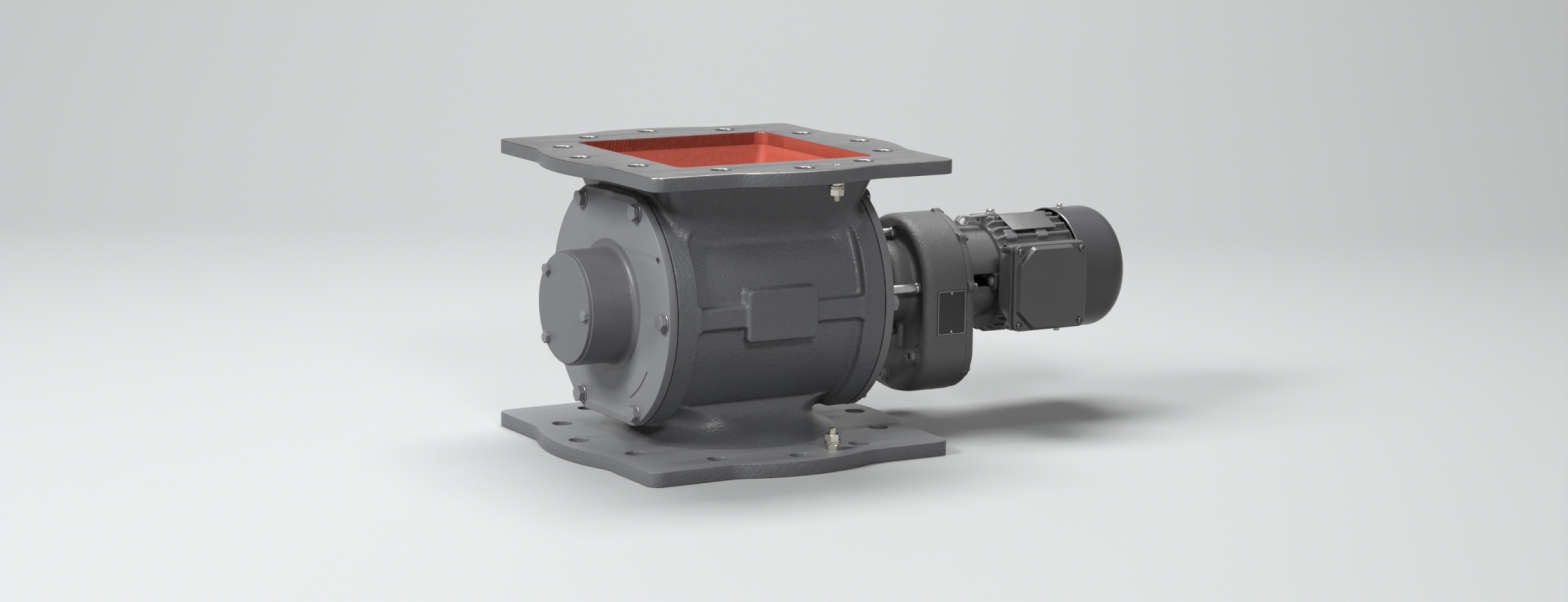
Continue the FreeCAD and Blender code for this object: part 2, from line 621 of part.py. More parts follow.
def cover_fasteners():
    """Bolts and washers of both end covers, and the cap with its screws."""
    bolts = []
    washers = []
    for side, sign, axis in (("outboard", -1, "-x"), ("drive", 1, "x")):
        for step in range(6):
            y, z = on_circle("cover_circle", 60 * step)
            name = f"{side}_bolt_{step}"
            bolts.append(hex_screw(name, (f"{sign} * ({COVER_FACE} + washer_thick)", y, z), axis,
                                   "cover_bolt_flats", "cover_bolt_head", "cover_bolt / 2 - fit_gap",
                                   "cover_plate + 22"))
            seat = (f"{sign} * {COVER_FACE}", y, z)
            disc = cylinder(name + "_washer", "cover_washer / 2", "washer_thick", seat, axis)
            hole = cylinder(name + "_washer_hole", "cover_bolt / 2 + 0.3", "washer_thick", seat, axis)
            washers.append(cut(name + "_washer_ring", disc, hole))
    keep("cover_bolts", group("cover_bolts", bolts))
    keep("cover_washers", group("cover_washers", washers))
    face = "(-boss_end - cap_thick)"
    plate = turned("cap_plate", [("-boss_end", "0"), ("-boss_end", "cap_radius"),
                                 (f"{face} + 0.8", "cap_radius"), (face, "cap_radius - 0.8"), (face, "0")])
    holes = around("cap_hole", "cap_screw_circle", CAP_ANGLES, "cap_screw / 2 + 0.3", f"{face} - 1",
                   "cap_thick + 2")
    keep("bearing_cap", cut("bearing_cap", plate, *holes))
    screws = []
    for i, angle in enumerate(CAP_ANGLES):
        at = (face, *on_circle("cap_screw_circle", angle))
        screws.append(hex_screw(f"cap_screw_{i}", at, "-x", "cap_screw * 1.625", "cap_screw * 0.72",
                                "cap_screw / 2 - fit_gap", "cap_thick + 12"))
    keep("bearing_cap_screws", group("bearing_cap_screws", screws))


def bearing(name, start, width, outer, inner, balls, centre_z="axis_height"):
    """Ball bearing about an X axis: (outer ring, inner ring, balls), grooves clear of the balls."""
    low = f"({start})"
    middle = f"({low} + ({width}) / 2)"
    pitch = f"(({outer}) + ({inner})) / 2"
    ball = f"(({outer}) - ({inner})) * 0.26"
    land = f"(({outer}) - ({inner})) * 0.19"
    groove = doc.addObject("Part::Torus", name + "_groove")
    groove.setExpression("Radius1", tie(pitch))
    groove.setExpression("Radius2", tie(f"{ball} + running_gap / 2"))
    place(groove, (middle, "0", centre_z), "x")
    outer_blank = tube(name + "_outer_ring", outer, f"{pitch} + {land}", low, width, centre_z)
    inner_blank = tube(name + "_inner_ring", f"{pitch} - {land}", inner, low, width, centre_z)
    outer_ring = cut(name + "_outer", outer_blank, groove)
    inner_ring = cut(name + "_inner", inner_blank, groove)
    spheres = []
    for i in range(balls):
        sphere = doc.addObject("Part::Sphere", f"{name}_ball_{i}")
        sphere.setExpression("Radius", tie(ball))
        place(sphere, (middle, *on_circle(f"2 * ({pitch})", 360 * i / balls, centre_z)), "x")
        spheres.append(sphere)
    return outer_ring, inner_ring, spheres


def bearing_pair(names, first, second):
    """Keeps two bearings as nodes: outer rings, inner rings and balls."""
    outer_name, inner_name, ball_name = names
    keep(outer_name, group(outer_name, [first[0], second[0]]))
    keep(inner_name, group(inner_name, [first[1], second[1]]))
    keep(ball_name, group(ball_name, first[2] + second[2]))


def rotor():
    """Vaned rotor on its shaft, with bearings, seals and coupling key."""
    reach = "(bore_radius - vane_gap)"
    half = f"({SPIGOT_END} - 2 * vane_gap)"
    hub = tube("rotor_hub", "hub_radius", "shaft_radius", f"-{half}", f"2 * {half}")
    vanes = []
    root = "(shaft_radius + 2)"
    for step in range(int(size("vane_count"))):
        angle = 360.0 * (step + 0.5) / size("vane_count")
        vanes.append(leaning_box(f"vane_{step}", (f"2 * {half}", "vane_thick", f"{reach} - {root}"),
                                 (f"-{half}", "(-vane_thick / 2)", root), angle))
    wheel = fuse("rotor_wheel", hub, *vanes)
    swept = cylinder("rotor_swept", reach, f"2 * {half}", (f"-{half}", "0", "axis_height"))
    keep("vaned_rotor", common("vaned_rotor", wheel, swept))
    outboard = "(boss_end - bearing_recess - bearing_width)"
    drive = "(drive_boss_end - bearing_recess - bearing_width)"
    sleeve_end = f"({OUTPUT_GEAR} + output_gear_width + 2)"
    shaft = turned("rotor_shaft_turned", [
        ("-(boss_end - bearing_recess + 1)", "0"), ("-(boss_end - bearing_recess + 1)", "journal_radius - 1"),
        ("-(boss_end - bearing_recess)", "journal_radius"), (f"-{outboard}", "journal_radius"),
        (f"-{outboard}", "shaft_radius"), (drive, "shaft_radius"), (drive, "journal_radius"),
        ("drive_boss_end - bearing_recess", "journal_radius"),
        ("drive_boss_end - bearing_recess", "drive_end_radius"),
        (f"{sleeve_end} - 6", "drive_end_radius"), (f"{sleeve_end} - 5", "drive_end_radius - 1"),
        (f"{sleeve_end} - 5", "0")])
    key = ("key_length", "key_width", "key_height")
    key_at = (f"{SLEEVE_FRONT} + 10", "-key_width / 2", KEY_FLOOR)
    keep("rotor_shaft", cut("rotor_shaft", shaft, box("shaft_key_slot", key, key_at)))
    keep("coupling_key", box("coupling_key_bar", key, key_at))
    first = bearing("outboard_bearing", f"-{outboard} - bearing_width", "bearing_width", "bearing_radius",
                    "journal_radius", 9)
    second = bearing("drive_bearing", drive, "bearing_width", "bearing_radius", "journal_radius", 9)
    bearing_pair(("rotor_bearing_outers", "rotor_bearing_inners", "rotor_bearing_balls"), first, second)
    seal_start = f"({COVER_FACE} + 2 - seal_width)"
    seals = [tube(f"{side}_seal", "seal_radius", "shaft_radius + running_gap", f"{sign} * {seal_start}",
                  f"{sign} * seal_width") for side, sign in (("outboard", -1), ("drive", 1))]
    keep("shaft_seals", group("shaft_seals", seals))


def earth_stud(name, flange_face, through, sign):
    """Stud through a flange with nut, washers, nut; sign is the way it stands out."""
    x, y = stud_place()
    axis = "z" if sign > 0 else "-z"
    rod = cylinder(f"{name}_rod", "stud_diameter / 2 - fit_gap", f"{through} + stud_length",
                   (x, y, f"({flange_face}) - ({sign}) * ({through})"), axis)
    bore = [cylinder(f"{name}_bore_{i}", "stud_diameter / 2", "stud_length", (x, y, flange_face), axis)
            for i in range(4)]
    nut_height = "stud_diameter * 0.8"
    plate = "1.6"
    levels = [("nut", nut_height, "0"), ("disc", plate, nut_height),
              ("disc", plate, f"{nut_height} + 2 * {plate}"),
              ("nut", nut_height, f"{nut_height} + 3 * {plate}")]
    pieces = [rod]
    for i, (kind, height, level) in enumerate(levels):
        at = (x, y, f"({flange_face}) + ({sign}) * ({level})")
        if kind == "nut":
            blank = hexagon(f"{name}_blank_{i}", "stud_flats", height, at, axis)
        else:
            blank = cylinder(f"{name}_blank_{i}", "stud_diameter", height, at, axis)
        pieces.append(cut(f"{name}_{kind}_{i}", blank, bore[i]))
    keep(name, group(name, pieces))


def case_outline(inset):
    """Lower half of the gear case's outline in (y, z): straight sides and cut corners."""
    side = f"(case_radius - {inset})"
    bottom = f"(case_bottom + {inset})"
    cut_start = f"case_cut + {inset} * 0.4"
    return [(side, "axis_height"), (f"-{side}", "axis_height"), (f"-{side}", cut_start),
            (f"-{side} * 0.62", f"{bottom} + 8"), (f"-{side} * 0.28", bottom),
            (f"{side} * 0.28", bottom), (f"{side} * 0.62", f"{bottom} + 8"), (side, cut_start)]


def case_block(name, inset, start, length):
    """Gear case form between two planes: round top, straight sides, cut lower corners."""
    top = cylinder(name + "_top", f"case_radius - {inset}", length, (start, "0", "axis_height"))
    lower = prism(name + "_lower", "YZ_Plane", case_outline(inset), start, length)
    return fuse(name, top, lower)


def gear_case():
    """Hollow gear case with front recess, output hub, oil plugs, rear cover and screws."""
    outside = case_block("case_outside", "0", "case_rim", "case_seam - case_rim")
    rounded = round_edges("case_rounded", outside, size("rim_round"), in_plane(0, size("case_rim")))
    recess_top = cylinder("recess_top", "recess_radius", "recess_depth + 1",
                          ("case_rim - 1", "0", "axis_height"))
    recess_low = box("recess_low", ("recess_depth + 1", "2 * recess_radius", "recess_drop"),
                     ("case_rim - 1", "-recess_radius", "recess_bottom"))
    recess_soft = round_edges("recess_soft", recess_low, 20, along(0))
    cavity = case_block("case_cavity", "case_wall", CAVITY, f"case_seam - {CAVITY} + 1")
    dome = turned("output_hub", [("dome_front", "0"), ("dome_front", "dome_radius - 6"),
                                 ("dome_front + 2", "dome_radius - 2"), ("dome_front + 7", "dome_radius"),
                                 ("case_floor + 1", "dome_radius"), ("case_floor + 1", "0")])
    lay_boss = cylinder("front_lay_boss", "lay_bearing_radius + 5", "lay_bearing_width + 2",
                        (f"{LAY_FRONT} - 2", "0", LAY_HEIGHT))
    ridge = centred_box("front_ridge", ("6", "7", "44"), ("case_floor - 2", "-19", "axis_height - 65"))
    hollow = cut("case_hollow", rounded, recess_top, recess_soft, cavity)
    bosses = []
    plug_holes = []
    plug_parts = []
    hole = "(plug_radius - 2)"
    for i, (y, z) in enumerate((("-case_radius + 25", "axis_height - 90"), ("6", "axis_height - 124"))):
        seat = ("case_rim - 2", y, z)
        bosses.append(cylinder(f"plug_boss_{i}", "plug_radius + 3", "plug_stem + 1", seat))
        plug_holes.append(cylinder(f"plug_hole_{i}", hole, "plug_stem + 9", ("case_rim - 3", y, z)))
        head = cylinder(f"plug_head_{i}", "plug_radius", "plug_head", seat, "-x")
        socket = hexagon(f"plug_socket_{i}", "plug_radius - 0.5", "plug_head - 1",
                         ("case_rim - 3 - plug_head", y, z), "x")
        stem = cylinder(f"plug_stem_{i}", f"{hole} - fit_gap", "plug_stem", seat, "x")
        plug_parts.append(fuse(f"oil_plug_{i}", cut(f"plug_cap_{i}", head, socket), stem))
    solid = fuse("case_solid", hollow, dome, lay_boss, ridge, *bosses)
    bore_front = f"({SLEEVE_FRONT} + 6)"
    bore = turned("output_bore", [("dome_front - 5", "0"), ("dome_front - 5", "sleeve_radius + 1.5"),
                                  ("dome_front - 1", "sleeve_radius + 1.5"),
                                  ("dome_front - 1", "seal_radius - 4"),
                                  (f"{bore_front} + 3", "seal_radius - 4"),
                                  (f"{bore_front} + 3", "bearing_radius"),
                                  (f"{CAVITY} + 1", "bearing_radius"), (f"{CAVITY} + 1", "0")])
    lay_seat = cylinder("front_lay_seat", "lay_bearing_radius", "lay_bearing_width + 1",
                        (LAY_FRONT, "0", LAY_HEIGHT))
    tools = [bore, lay_seat, *plug_holes]
    tools += around("rod_case_hole", "rod_circle", range(0, 360, 90), "rod_spigot", "case_floor - 9", "14.5")
    screw_places = [on_circle("2 * (case_radius - 3.8)", a) for a in (0, 45, 90, 135, 180)]
    screw_places += [("-case_radius * 0.80", "case_cut - 4"), ("case_radius * 0.80", "case_cut - 4"),
                     ("0", "case_bottom + 3.8")]
    for i, (y, z) in enumerate(screw_places):
        tools.append(cylinder(f"case_thread_{i}", "small_screw / 2", "18", ("case_seam + 1", y, z), "-x"))
    keep("gear_case", cut("gear_case", solid, *tools))
    keep("oil_plugs", group("oil_plugs", plug_parts))
    back = case_block("back_outside", "1.2", "case_seam", "case_back - case_seam")
    back_boss = cylinder("rear_lay_boss", "lay_bearing_radius + 5", "4", ("case_seam - 3", "0", LAY_HEIGHT))
    back_start = "case_seam - 4"
    back_tools = [
        cylinder("rear_shaft_hole", "16", "20", (back_start, "0", "axis_height")),
        cylinder("rear_lay_seat", "lay_bearing_radius", "lay_bearing_width + 2",
                 (back_start, "0", LAY_HEIGHT))]
    screws = []
    for i, (y, z) in enumerate(screw_places):
        back_tools.append(cylinder(f"case_screw_hole_{i}", "small_screw / 2 + 0.2", "rear_cover + 9",
                                   ("case_seam - 1", y, z)))
        screws.append(hex_screw(f"case_screw_{i}", ("case_back", y, z), "x", "small_flats", "small_screw",
                                "small_screw / 2 - fit_gap", "rear_cover + 13"))
    keep("gear_case_cover", cut("gear_case_cover", fuse("back_solid", back, back_boss), *back_tools))
    keep("gear_case_screws", group("gear_case_screws", screws))
    keep("gear_nameplate", gear_nameplate())
    rivets = []
    for i, side in enumerate((-1, 1)):
        height = f"{NAMEPLATE_Z} + {side} * (nameplate_height / 2 - 4)"
        rivets.append(cylinder(f"rivet_{i}", "1.6", "1.2",
                               (NAMEPLATE_X, "-case_radius - plate_thick", height), "-y"))
    keep("nameplate_rivets", group("nameplate_rivets", rivets))


def gear_nameplate():
    """Bare plate with rounded corners on the gear case's side."""
    plate = centred_box("gear_plate", ("nameplate_length", "plate_thick", "nameplate_height"),
                        (NAMEPLATE_X, "-case_radius - plate_thick / 2", NAMEPLATE_Z))
    return round_edges("gear_plate_rounded", plate, 2.5, along(1))


def rods():
    """Four stand-off rods with threaded ends and a collar at the gear case."""
    pieces = []
    for i, angle in enumerate(range(0, 360, 90)):
        y, z = on_circle("rod_circle", angle)
        bar = cylinder(f"rod_bar_{i}", "rod_radius", f"case_floor - {COVER_FACE}", (COVER_FACE, y, z))
        collar = cylinder(f"rod_collar_{i}", "rod_radius + 1", "6", ("case_floor - 6", y, z))
        spigot = cylinder(f"rod_spigot_{i}", "rod_spigot - fit_gap", f"case_floor - {COVER_FACE} + 13",
                          (f"{COVER_FACE} - 8", y, z))
        pieces.append(fuse(f"rod_{i}", bar, collar, spigot))
    keep("standoff_rods", group("standoff_rods", pieces))


def gear_shape(teeth, module, width, start, centre_z, tooth_angle, bore):
    """Spur gear along X with involute flanks; a tooth points along tooth_angle, from +Y towards +Z."""
    pressure = math.radians(25)
    pitch = teeth * module / 2
    base = pitch * math.cos(pressure)
    tip = pitch + module
    root = pitch - 1.2 * module
    half_pitch_angle = (math.pi / 2 * module - size("gear_backlash") / 2) / (2 * pitch)
    involute = math.tan(pressure) - pressure
    flank_radii = [max(base, root + 0.1), (max(base, root + 0.1) + pitch) / 2, pitch, (pitch + tip) / 2, tip]
    half_angles = []
    for radius in flank_radii:
        at = math.acos(min(1.0, base / radius))
        half_angles.append(half_pitch_angle + involute - (math.tan(at) - at))
    outline = [(root, half_angles[0] + 0.15 * half_pitch_angle)] + list(zip(flank_radii, half_angles))
    corners = []
    for tooth in range(teeth):
        centre = math.radians(tooth_angle) + 2 * math.pi * tooth / teeth
        corners += [(r, centre - a) for r, a in outline]
        corners += [(r, centre + a) for r, a in reversed(outline)]
    points = [FreeCAD.Vector(start, r * math.cos(a), centre_z + r * math.sin(a)) for r, a in corners]
    face = Part.Face(Part.makePolygon(points + [points[0]]))
    solid = face.extrude(FreeCAD.Vector(width, 0, 0))
    if bore == 0:
        return solid
    hole_start = FreeCAD.Vector(start - 1, 0, centre_z)
    return solid.cut(Part.makeCylinder(bore, width + 2, hole_start, FreeCAD.Vector(1, 0, 0)))


def gear_train():
    """Output sleeve and gear, layshaft with its pinion and gear, and the bearings that carry them."""
    axis = size("axis_height")
    low = axis - size("shaft_drop")
    module = size("output_module")
    lay_pinion = int(size("lay_pinion_teeth"))
    output = int(size("output_teeth"))
    motor_pinion = int(size("motor_pinion_teeth"))
    motor_module = size("motor_module")
    lay_teeth = int(round(2 * size("shaft_drop") / motor_module)) - motor_pinion
    gear_start = size(OUTPUT_GEAR)
    gear_width = size("output_gear_width")
    lay_start = size(LAY_GEAR)
    keep("output_gear", shaped("output_gear_teeth", gear_shape(
        output, module, gear_width, gear_start, axis, -90 + 180 / output, size("sleeve_radius"))))
    keep("layshaft_gear", shaped("layshaft_gear_teeth", gear_shape(
        lay_teeth, motor_module, size("lay_gear_width"), lay_start, low, 90 + 180 / lay_teeth, 10)))
    pinion_teeth = gear_shape(lay_pinion, module, gear_width + 2, gear_start - 1, low, 90, 0)
    pinion = shaped("lay_pinion_teeth_shape", pinion_teeth)
    shaft = turned("layshaft_turned", [
        (LAY_FRONT, "0"), (LAY_FRONT, "lay_bearing_bore"),
        (f"{CAVITY} + 6", "lay_bearing_bore"), (f"{CAVITY} + 6", "10"), ("case_seam - 2", "10"),
        ("case_seam - 2", "lay_bearing_bore"), ("case_seam - 2 + lay_bearing_width", "lay_bearing_bore"),
        ("case_seam - 2 + lay_bearing_width", "0")], LAY_HEIGHT)
    keep("layshaft", fuse("layshaft", shaft, pinion))
    sleeve_end = f"({OUTPUT_GEAR} + output_gear_width + 2)"
    length = f"{sleeve_end} - {SLEEVE_FRONT}"
    sleeve = tube("sleeve_tube", "sleeve_radius", "drive_end_radius", SLEEVE_FRONT, length)
    keyway = box("sleeve_keyway", (f"{length} + 2", "key_width", "key_height"),
                 (f"{SLEEVE_FRONT} - 1", "-key_width / 2", KEY_FLOOR))
    keep("output_sleeve", cut("output_sleeve", sleeve, keyway))
    first_start = f"({SLEEVE_FRONT} + 9)"
    second_start = f"({CAVITY} - {OUTPUT_BEARING})"
    first = bearing("output_front_bearing", first_start, f"{second_start} - {first_start} - 1",
                    "bearing_radius", "sleeve_radius", 8)
    second = bearing("output_rear_bearing", second_start, OUTPUT_BEARING,
                     "bearing_radius", "sleeve_radius", 8)
    bearing_pair(("output_bearing_outers", "output_bearing_inners", "output_bearing_balls"), first, second)
    keep("output_oil_seal", tube("output_seal_ring", "seal_radius - 4", "sleeve_radius + running_gap",
                                 "dome_front - 1", f"{SLEEVE_FRONT} + 9 - dome_front"))
    first = bearing("lay_front_bearing", LAY_FRONT, "lay_bearing_width",
                    "lay_bearing_radius", "lay_bearing_bore", 7, LAY_HEIGHT)
    second = bearing("lay_rear_bearing", "case_seam - 2", "lay_bearing_width", "lay_bearing_radius",
                     "lay_bearing_bore", 7, LAY_HEIGHT)
    names = ("layshaft_bearing_outers", "layshaft_bearing_inners", "layshaft_bearing_balls")
    bearing_pair(names, first, second)
    pinion = gear_shape(motor_pinion, motor_module, size("lay_gear_width") + 3, lay_start - 1, axis, -90, 0)
    return shaped("motor_pinion_shape", pinion)


def adapter():
    """Neck between gear case and motor: round hood above, narrower neck below, lugs at the motor."""
    start = ("case_back", "0", "axis_height")
    top = "(axis_height + adapter_radius)"
    above = box("hood_above", ("adapter_length", "3 * adapter_radius", "2 * adapter_radius"),
                ("case_back", "-1.5 * adapter_radius", "axis_height + 11"))
    hood = common("adapter_hood", cylinder("hood_raw", "adapter_radius", "adapter_length", start), above)
    foot = cylinder("adapter_foot", "adapter_radius", "8", start)
    neck = cylinder("adapter_neck_solid", "adapter_neck", "adapter_length", start)
    lugs = [centred_box(f"adapter_lug_{i}", ("lug_length", "lug_width", "lug_height"),
                        ("motor_front - lug_length / 2", y, "axis_height"))
            for i, y in enumerate(("-adapter_radius + 7", "adapter_radius - 7"))]
    eye = centred_box("adapter_eye", ("16", "22", "16"), ("case_back + 38", "0", f"{top} + 3"))
    rail = centred_box("adapter_rail", ("22", "14", "8"), ("motor_front - 11", "0", f"{top} + 2"))
    solid = fuse("adapter_solid", hood, foot, neck, eye, rail, *lugs)
    web = "(motor_front - motor_bearing_width)"
    hollow = turned("adapter_hollow", [
        ("case_back - 1", "0"), ("case_back - 1", "adapter_neck - 8"), (f"{web} - 5", "adapter_neck - 8"),
        (f"{web} - 5", "motor_shaft_radius + 2"), (web, "motor_shaft_radius + 2"),
        (web, "motor_bearing_radius"), ("motor_front + 1", "motor_bearing_radius"), ("motor_front + 1", "0")])
    eye_hole = cylinder("adapter_eye_hole", "5", "30", ("case_back + 38", "-15", f"{top} + 4"), "y")
    window = centred_box("adapter_window_blank", ("adapter_window", "2 * adapter_radius", "window_height"),
                         ("case_back + 17 + adapter_window / 2", "0", "axis_height + 1"))
    bolts = []
    tools = [hollow, eye_hole, round_edges("adapter_window", window, 4, along(1))]
    for i, y in enumerate(("-adapter_radius + 5", "adapter_radius - 5")):
        seat = ("motor_front - lug_length", y, "axis_height")
        hole_at = ("motor_front - lug_length - 2", y, "axis_height")
        tools.append(cylinder(f"adapter_bolt_hole_{i}", "4.2", "lug_length + 7", hole_at))
        tools.append(cylinder(f"adapter_bolt_room_{i}", "7", "30", seat, "-x"))
        head = cylinder(f"adapter_bolt_head_{i}", "6", "3.5", seat, "-x")
        dome_at = ("motor_front - lug_length - 3.5", y, "axis_height")
        dome = cone(f"adapter_bolt_dome_{i}", "6", "3.2", "2.5", dome_at, "-x")
        shank = cylinder(f"adapter_bolt_shank_{i}", "4.2 - fit_gap", "lug_length + 7", seat)
        bolts.append(fuse(f"adapter_bolt_{i}", head, dome, shank))
    keep("motor_adapter", cut("motor_adapter", solid, *tools))
    keep("adapter_bolts", group("adapter_bolts", bolts))


def motor_frame():
    """Finned barrel with a flat seat for the terminal box on the -Y side."""
    barrel = cylinder("frame_barrel", "frame_radius", "motor_length", ("motor_front", "0", "axis_height"))
    root = "(frame_radius - 4)"
    angles = [a for a in range(0, 360, int(size("fin_step"))) if not 150 <= a <= 210]
    fins = [leaning_box(f"fin_{i}", ("motor_length", f"fin_reach - {root}", "fin_thick"),
                        ("motor_front", root, "-fin_thick / 2"), angle) for i, angle in enumerate(angles)]
    seat = centred_box("box_seat", ("motor_length", "14", "88"),
                       ("motor_front + motor_length / 2", "-frame_radius - 1", BOX_HEIGHT))
    blocks = [centred_box(f"frame_block_{i}", ("24", "18", "13"),
                          ("motor_front + 13", y, "axis_height + frame_radius + 2"))
              for i, y in enumerate(("-12", "12"))]
    solid = fuse("frame_solid", barrel, seat, *blocks, *fins)
    bore = cylinder("frame_bore", "stator_radius", "motor_length + 2",
                    ("motor_front - 1", "0", "axis_height"))
    wires = centred_box("frame_wire_hole", ("40", "40", "24"),
                        ("box_centre + 14", "-frame_radius", BOX_HEIGHT))
    holes = [cylinder(f"frame_bolt_hole_{i}", "4.2", "16", ("motor_front - 1", y, "axis_height"))
             for i, y in enumerate(("-adapter_radius + 5", "adapter_radius - 5"))]
    bolt_x = "motor_front + 14"
    bolt_hole = cylinder("frame_top_hole", "3", "12", (bolt_x, "-12", "axis_height + frame_radius - 3"), "z")
    keep("motor_frame", cut("motor_frame", solid, bore, wires, bolt_hole, *holes))
    at = (bolt_x, "-12", "axis_height + frame_radius + 8.5")
    keep("frame_top_bolt", hex_screw("frame_top_bolt", at, "z", "10", "6.5", "3 - fit_gap", "8"))
    keep("motor_plate", leaning_box("frame_plate_blank", ("71", "40", "1.2"),
                                    ("motor_front + 26", "-19", "fin_reach + 0.1"), 23))


def motor_inside(pinion):
    """Stator, windings, rotor core, shaft with pinion, bearings, rear shield, fan and fan cover."""
    end = f"({CORE_START} + core_length)"
    keep("stator_core", tube("stator_tube", "stator_radius", "air_gap_radius", CORE_START, "core_length"))
    windings = [tube("front_winding", "stator_radius - 6", "air_gap_radius + 3", f"{CORE_START} - 14", "14"),
                tube("rear_winding", "stator_radius - 6", "air_gap_radius + 3", end, "14")]
    keep("stator_windings", group("stator_windings", windings))
    keep("motor_rotor_core", tube("rotor_core_tube", "air_gap_radius - 0.6", "motor_shaft_radius + 3",
                                  CORE_START, "core_length"))
    front_bearing = "(motor_front - motor_bearing_width)"
    rear_bearing = "(motor_back - 4)"
    shaft = turned("motor_shaft_turned", [
        (f"{LAY_GEAR} - 1", "0"), (f"{LAY_GEAR} - 1", "8.5"), (front_bearing, "8.5"),
        (front_bearing, "motor_shaft_radius"), ("motor_front", "motor_shaft_radius"),
        ("motor_front", "motor_shaft_radius + 3"), (rear_bearing, "motor_shaft_radius + 3"),
        (rear_bearing, "motor_shaft_radius"),
        (f"{rear_bearing} + motor_bearing_width + 4", "motor_shaft_radius"),
        (f"{rear_bearing} + motor_bearing_width + 4", "8"), ("motor_back + 44", "8"),
        ("motor_back + 44", "0")])
    keep("motor_shaft", fuse("motor_shaft", shaft, pinion))
    first = bearing("motor_front_bearing", front_bearing, "motor_bearing_width", "motor_bearing_radius",
                    "motor_shaft_radius", 7)
    second = bearing("motor_rear_bearing", rear_bearing, "motor_bearing_width", "motor_bearing_radius",
                     "motor_shaft_radius", 7)
    bearing_pair(("motor_bearing_outers", "motor_bearing_inners", "motor_bearing_balls"), first, second)
    keep("motor_end_shield", turned("rear_shield", [
        (f"{rear_bearing}", "motor_bearing_radius"), (f"{rear_bearing}", "motor_bearing_radius + 5"),
        ("motor_back", "motor_bearing_radius + 9"), ("motor_back", "frame_radius"),
        ("motor_back + 6", "frame_radius"), ("motor_back + 6", "motor_bearing_radius + 12"),
        (f"{rear_bearing} + motor_bearing_width + 3", "motor_bearing_radius + 5"),
        (f"{rear_bearing} + motor_bearing_width + 3", "motor_shaft_radius + 1"),
        (f"{rear_bearing} + motor_bearing_width", "motor_shaft_radius + 1"),
        (f"{rear_bearing} + motor_bearing_width", "motor_bearing_radius")]))
    fan_start = "(motor_back + 20)"
    disc = tube("fan_disc", "fan_radius", "8", fan_start, "3")
    hub = tube("fan_hub", "fan_hub_radius", "8", fan_start, "fan_hub_length")
    root = "(fan_hub_radius - 2)"
    blades = [leaning_box(f"fan_blade_{step}", ("blade_length", f"fan_radius - 1 - {root}", "blade_thick"),
                          (f"{fan_start} + 2", root, "-blade_thick / 2"), 60 * step) for step in range(6)]
    keep("cooling_fan", fuse("cooling_fan", disc, hub, *blades))


def fan_cover():
    """Drawn sheet cover with a rounded rear edge and a grille of ring slots."""
    back = "fan_cover_back"
    front = "(motor_back + 0.5)"

    def bend(step, inwards):
        """(x, radius) along the rounded rear edge, a quarter ellipse, step running from 0 to 1."""
        angle = 90 * step
        return (f"{back} - fan_bend * (1 - sin({angle})) - {inwards} * sin({angle})",
                f"fan_cover_radius - fan_bend * (1 - cos({angle})) - {inwards} * cos({angle})")

    steps = [i / 6 for i in range(7)]
    outer = [(front, "fan_cover_radius"), *(bend(step, "0") for step in steps), (back, "0")]
    inner = [(f"{back} - sheet_metal", "0"), *(bend(step, "sheet_metal") for step in reversed(steps)),
             (front, "fan_cover_radius - sheet_metal")]
    shell = turned("fan_shell", outer + inner)
    slots = [tube(f"grille_slot_{ring}", f"{inside} + slot_width", str(inside), f"{back} - 5", "10")
             for ring, inside in enumerate((14, 25, 36, 47))]
    rings = fuse("grille_rings", *slots)
    spokes = [leaning_box(f"grille_spoke_{i}", ("20", "200", "5"), (f"{back} - 8", "-100", "-2.5"), angle)
              for i, angle in enumerate(range(0, 180, 45))]
    open_slots = cut("grille_open", rings, *spokes)
    screws = []
    for i, (y, z, axis) in enumerate((("0", "axis_height + fan_cover_radius", "z"),
                                      ("0", "axis_height - fan_cover_radius", "-z"),
                                      ("fan_cover_radius", "axis_height", "y"))):
        screws.append(hex_screw(f"fan_screw_{i}", ("motor_back + 18", y, z), axis, "small_flats", "4.5",
                                "small_screw / 2 - fit_gap", "12"))
    keep("fan_cover", cut("fan_cover", shell, open_slots, *fan_screw_holes()))
    keep("fan_cover_screws", group("fan_cover_screws", screws))


def fan_screw_holes():
    """Radial holes for the fan cover's screws."""
    along_axis = "motor_back + 18"
    up = (along_axis, "0", "axis_height + fan_cover_radius - 20")
    down = (along_axis, "0", "axis_height - fan_cover_radius + 20")
    side = (along_axis, "fan_cover_radius - 20", "axis_height")
    return [cylinder(f"fan_hole_{axis}", "small_screw / 2", "40", at, axis)
            for at, axis in ((up, "z"), (down, "-z"), (side, "y"))]


def frustum(name, side, side_back, front, back, corner):
    """Square block along Y that narrows from front (near -Y) to back, with rounded corners."""
    wires = []
    for half, y in ((side / 2, -front), (side_back / 2, -back)):
        wire = rounded_wire(half, half, corner, 0)
        wire.Placement = FreeCAD.Placement(FreeCAD.Vector(size("box_centre"), y, size(BOX_HEIGHT)),
                                           FreeCAD.Rotation(FreeCAD.Vector(1, 0, 0), 90))
        wires.append(wire)
    return shaped(name, Part.makeLoft(wires, True, True))


